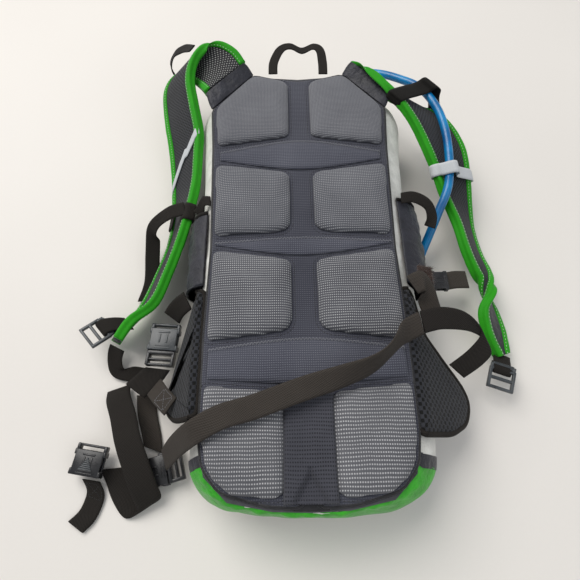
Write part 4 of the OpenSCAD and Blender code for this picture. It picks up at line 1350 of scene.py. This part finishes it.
# ---------------------------------------------------------------- side pockets
POCKET_X = 96
POCKET_FOOT = -35
POCKET_MID_Z = 43
POCKET_HALF_Z = 30
# how many degrees of its oval the sleeve and the foot go round, and how much wider the sleeve is cut
POCKET_SWEEP = 168
POCKET_FOOT_SWEEP = 126


def pocket(side, sign, reach, long):
    """A gathered sleeve pocket on the bag's side, with its elastic hem and its foot."""
    cols, rows = 44, 26

    def place(x, y, z):
        return ((sign * (POCKET_X + x) + 1) * MM, y * MM, (POCKET_MID_Z - z) * MM)

    def turn(i, sweep):
        return math.radians(-sweep / 2 + sweep * i / cols)

    rings = []
    for j in range(rows + 1):
        f = j / rows
        y = POCKET_FOOT + long * f
        gather = max(0.0, (f - 0.72) / 0.28)
        outer, inner = [], []
        for i in range(cols + 1):
            a = turn(i, POCKET_SWEEP)
            pull = 1 - 0.16 * gather ** 2 * math.cos(a) - 0.10 * max(0.0, 0.12 - f) / 0.12
            uneven = noise.noise(Vector((a * 3, f * 2, sign))) * 5
            fold = math.sin(a * 30 + uneven) * (0.3 + 1.7 * gather) * 0.6
            slack = noise.noise(Vector((a * 2.2, f * 5, sign * 3.0))) * 2.4 * math.cos(a)
            drag = 1 - abs(noise.noise(Vector((a * 2.6 + f * 3, f * 7 - a * 1.5, 9.0 + sign)))) * 2.6
            slack += max(0.0, drag) * 1.5 * math.cos(a) - 0.6
            r = reach * pull + fold * math.cos(a) - 1.6 + slack
            outer.append(place(r * math.cos(a), y, POCKET_HALF_Z * math.sin(a)))
            inner.append(place((r - 1.1) * math.cos(a), y, (POCKET_HALF_Z - 1) * math.sin(a)))
        rings.append(outer + inner[::-1])
    sleeve = loft("pocket_sleeve_" + side, rings, MAT["nylon"])

    hem = []
    for i in range(cols + 1):
        a = turn(i, POCKET_SWEEP)
        r = reach * (1 - 0.16 * math.cos(a)) - 1.6
        hem.append(place(r * math.cos(a), POCKET_FOOT + long - 1.5, (POCKET_HALF_Z - 0.4) * math.sin(a)))
    band = tube("hem", hem, 2.2 * MM, MAT["elastic"], sides=8)
    angles = [turn(i, POCKET_FOOT_SWEEP) for i in range(cols + 1)]
    plan = [((reach - 1.5) * math.cos(a), (POCKET_HALF_Z - 1.4) * math.sin(a)) for a in angles]
    plan += [((reach - 9) * math.cos(a), (POCKET_HALF_Z - 4) * math.sin(a)) for a in angles[::-1]]
    foot_rings = [[place(x, y, z) for x, z in plan] for y in (POCKET_FOOT, POCKET_FOOT + 1.6)]
    trim = joined("pocket_trim_" + side, [band, loft("foot", foot_rings, MAT["nylon"])])
    ready(trim, "root")
    ready(sleeve, "root", ["pocket_" + side])


pocket("l", -1, 26, 84)
pocket("r", 1, 34, 98)

# ---------------------------------------------------------------- front pocket and zips
front_loop = []
for x, y, r, start in ((52, 96, 20, 90), (46, -168, 28, 0), (-46, -168, 28, -90), (-52, 96, 20, 180)):
    for k in range(9):
        a = math.radians(start - 90 * k / 8)
        front_loop.append([x + r * math.cos(a), y + r * math.sin(a)])
front_loop = evenly(np.array(front_loop), 200)
FRONT_LEVELS = [(0.0, 6), (0.3, 3.2), (1.6, 1.0), (4, 0.1), (8, 0.2), (11.5, 0.6), (12.9, 2.2), (12.95, 6)]
front = flat_pad("front_pocket_fabric", front_loop, FRONT_LEVELS, MAT["nylon"])
ready(front, "root", ["front_pocket"])

ZIP_REACH = 0.19
ZIP_Z = 27
ZIP_OFF = 2.4
COIL_PITCH = 1.6 * MM


def main_zip():
    """The zip round the bag's top: a tape on the side, and a coil along it."""
    places = np.linspace(-ZIP_REACH, ZIP_REACH, 160)
    line = np.array([bag_point(u, ZIP_Z, ZIP_OFF) for u in places]) * MM
    out = unit(np.array([bag_point(u, ZIP_Z, ZIP_OFF + 2) for u in places]) * MM - line)
    high, low = [np.array([bag_point(u, z, ZIP_OFF) for u in places]) for z in (ZIP_Z + 4, ZIP_Z - 4)]
    along_side = unit(high - low)
    rings = [[p + along_side[i] * x * 5.5 * MM + out[i] * y * 0.6 * MM for x, y in band_section()]
             for i, p in enumerate(line)]
    tape = loft("main_zip_tape", rings, MAT["elastic"])
    line = line + out * 0.3 * MM
    s = lengths(line)
    steps = int(s[-1] / COIL_PITCH) * 4
    coil = []
    for k in range(steps + 1):
        at = s[-1] * k / steps
        p = np.array([np.interp(at, s, line[:, q]) for q in range(3)])
        j = min(int(np.searchsorted(s, at)), len(s) - 1)
        a = math.pi / 2 * k
        coil.append(p + along_side[j] * math.cos(a) * 1.3 * MM + out[j] * (math.sin(a) * 0.5 + 0.2) * MM)
    coil = tube("coil", coil, 0.42 * MM, MAT["plastic_black"], sides=5)
    ready(joined("main_zip_coil", [tape, coil]), "root", ["main_zip"])


main_zip()

# ---------------------------------------------------------------- CAD pieces that stay
LOOKS = {
    "main_slider": ("plastic_grey", "buckle_grey"), "front_slider": ("plastic_grey", "buckle_grey"),
    "front_zip": ("elastic", "zip_tape"), "back_frame": ("foam", "foam_sheet"),
    "reservoir": ("film", "reservoir_film"), "fill_collar": ("plastic_blue", "tube_blue"),
    "reservoir_cap": ("plastic_blue", "tube_blue"), "inner_hose": ("hose", "tube_blue"),
    "tube_port": ("plastic_black", "buckle_black"),
    "bite_valve": ("plastic_blue", "valve_soft"), "valve_lever": ("plastic_grey", "buckle_grey"),
}


def bar(lo, hi, soft=0.9):
    """A bar of moulded plastic between two corners in local mm, with rounded edges, as a bmesh."""
    bm = bmesh.new()
    bmesh.ops.create_cube(bm, size=1.0)
    lo, hi = np.minimum(lo, hi), np.maximum(lo, hi)
    for v in bm.verts:
        v.co = Vector((lo + hi) / 2 + np.array(v.co) * (hi - lo))
    offset = min(soft, float((hi - lo).min()) * 0.42)
    bmesh.ops.bevel(bm, geom=bm.edges[:], offset=offset, segments=3, affect="EDGES", profile=0.5)
    return bm


def both(lo, hi):
    """The same bar on both sides of the middle."""
    return [(lo, hi), ((lo[0], -lo[1], lo[2]), (hi[0], -hi[1], hi[2]))]


# the bars of the moulded fittings, each by two corners in mm
LADDER_BARS = both((-11, 10, -2), (11, 13, 2)) + both((8, 9.6, -1.6), (15, 12.4, 1.8)) + [
    ((-11, -12, -2), (-8, 12, 2)), ((-1.6, -12, -1.7), (1.6, 12, 1.9)), ((8, -12, -2), (11, 12, 2)),
    ((11, -10.5, -0.6), (16, 10.5, 1.6)), ((13.2, -9, 1.2), (14.1, 9, 2.2)), ((15, -9, 1.0), (15.9, 9, 1.9))]
SOCKET_SIDES = (both((-14, 12, -4.6), (-8.4, 15, 4.6)) + both((3.6, 12, -4.6), (9, 15, 4.6))
                + both((8, 11.4, -3.4), (14, 14.6, 3.4)))
SOCKET_RIBS = both((-6.6, 2.6, 4.4), (2.6, 4.6, 5.6))
SOCKET_BARS = SOCKET_SIDES + [
    ((-14, -13.4, 2.6), (8.6, 13.4, 5)), ((-14, -13.4, -5), (8.6, 13.4, -2.6)),
    ((11.6, -14, -2.8), (14, 14, 2.8)), ((6.4, -13.6, -4.4), (8.8, 13.6, 4.4)),
    ((-12.4, -8, 4.6), (-11.2, 8, 5.5)), ((-10, -7, 4.6), (-8.8, 7, 5.5)), ((3.6, -6, 4.5), (5.6, 6, 5.6)),
] + SOCKET_RIBS
PLUG_PRONGS = (both((-29.5, 10.8, -4), (-14.5, 14, 4)) + both((-15, 7.7, -2.5), (1, 11.3, 2.5))
               + both((-7.6, 10, -2.2), (1.4, 11.7, 2.2)))
PLUG_BARS = PLUG_PRONGS + [
    ((-29.5, -13, -3.4), (-27, 13, 3.4)), ((-24.2, -13, -3.2), (-21.8, 13, 3.2)),
    ((-18.4, -13, -4.2), (-14.4, 13, 4.2)), ((-15, -1.6, -2), (-1, 1.6, 2)),
    ((-17.4, -11, 3.8), (-16.6, 11, 4.7))]
TRIANGLE = [((-9 + 1.6 * k, -6.2 + 0.9 * k, 4.6), (-7.6 + 1.6 * k, 6.2 - 0.9 * k, 5.9)) for k in range(7)]
# node, bars, look, finish, where its middle is in mm, turn and tilt in degrees, size
MOULDINGS = (
    ("ladder_l", LADDER_BARS, "plastic_grey", "buckle_grey", (-215, -66, 25), 42, 12, 1),
    ("ladder_r", LADDER_BARS, "plastic_grey", "buckle_grey", (197, -119, 19), 70, -4, 1),
    ("side_buckle_f", SOCKET_BARS, "plastic_grey", "buckle_grey", (-141, -74, 31), 85, 0, 1),
    ("side_buckle_m", PLUG_BARS, "plastic_black", "buckle_black", (-141, -74, 31), 85, 0, 1),
    ("waist_buckle_f", SOCKET_BARS, "plastic_black", "buckle_black", (-146, -200, 8), 196, 0, 1),
    ("waist_buckle_m", PLUG_BARS, "plastic_black", "buckle_black", (-146, -200, 8), 196, 0, 1),
    ("hip_buckle_l", SOCKET_BARS, "plastic_black", "buckle_grey", (-205, -188, 13), 80, 0, 1),
    ("sternum_buckle_r", SOCKET_BARS, "plastic_black", "buckle_black", (143, -18, 37), 180, 0, 0.72),
)


def moulding(name, bars, look, at, turn, tilt, size):
    """A moulded fitting from its bars, in its place."""
    move = (Matrix.Translation(Vector(at) * MM) @ Matrix.Rotation(math.radians(turn), 4, "Z")
            @ Matrix.Rotation(math.radians(tilt), 4, "Y") @ Matrix.Scale(size * MM, 4))
    mesh = bpy.data.meshes.new(name)
    whole = bmesh.new()
    for lo, hi in bars:
        piece = bar(np.array(lo, float), np.array(hi, float))
        part = bpy.data.meshes.new("part")
        piece.to_mesh(part)
        piece.free()
        whole.from_mesh(part)
        bpy.data.meshes.remove(part)
    bmesh.ops.transform(whole, matrix=move, verts=whole.verts[:])
    whole.to_mesh(mesh)
    whole.free()
    mesh.polygons.foreach_set("use_smooth", [True] * len(mesh.polygons))
    mesh.materials.append(MAT[look])
    fix_normals(mesh)
    return link(mesh, name)


for name, bars, look, slot, at, turn, tilt, size in MOULDINGS:
    piece = moulding(name + "_moulding", bars, look, at, turn, tilt, size)
    ready(piece, BODY_OF[name], [name])
badge = moulding("hip_buckle_l_grip", TRIANGLE, "plastic_grey", (-205, -188, 13), 80, 0, 1)
ready(badge, "root")

BEVEL = 0.9 * MM
PLAIN = ("front_zip", "back_frame", "inner_hose", "reservoir")
for name, (look, slot) in LOOKS.items():
    o = nodes[name]
    o.data.materials.clear()
    o.data.materials.append(MAT[look])
    if name in PLAIN:
        continue
    bevel = o.modifiers.new("edges", "BEVEL")
    bevel.width = BEVEL
    bevel.segments = 3
    bevel.limit_method = "ANGLE"
    bevel.angle_limit = math.radians(35)

# ---------------------------------------------------------------- floor and light
FLOOR_DARK = (0.755, 0.72, 0.675)
FLOOR_LIGHT = (0.82, 0.785, 0.74)
SKY = (0.93, 0.96, 1.0)
SKY_STRENGTH = 0.42
floor_mat = Mat("floor")
cloud = floor_mat.noise(floor_mat.place(), 2.2, 3)
grain = floor_mat.noise(floor_mat.place(), 260, 3)
patchy = floor_mat.op("MULTIPLY_ADD", grain, 0.15, floor_mat.op("MULTIPLY", cloud, 0.85))
floor_mat.finish(floor_mat.ramp(patchy, [(0.2, FLOOR_DARK), (0.8, FLOOR_LIGHT)]), 0.6,
                 floor_mat.bump(grain, 0.05, 0.0006), Specular_IOR_Level=0.25)
bpy.ops.mesh.primitive_plane_add(size=8, location=(0, 0, -0.0005))
floor = bpy.context.object
floor.name = "floor"
floor.data.materials.append(floor_mat.m)

world = bpy.data.worlds.new("studio")
scene.world = world
world.use_nodes = True
sky = world.node_tree.nodes["Background"]
sky.inputs["Color"].default_value = (*SKY, 1)
sky.inputs["Strength"].default_value = SKY_STRENGTH


def area_light(name, at, target, size, watts, colour):
    data = bpy.data.lights.new(name, "AREA")
    data.shape = "SQUARE"
    data.size = size
    data.energy = watts
    data.color = colour
    o = bpy.data.objects.new(name, data)
    o.location = at
    o.rotation_euler = (Vector(target) - Vector(at)).to_track_quat("-Z", "Y").to_euler()
    scene.collection.objects.link(o)


area_light("key", (-1.3, 1.3, 2.5), (0, 0.0, 0.05), 2.2, 78, (1.0, 0.975, 0.94))
area_light("fill", (1.6, -0.8, 2.0), (0, 0, 0.05), 2.2, 12, SKY)
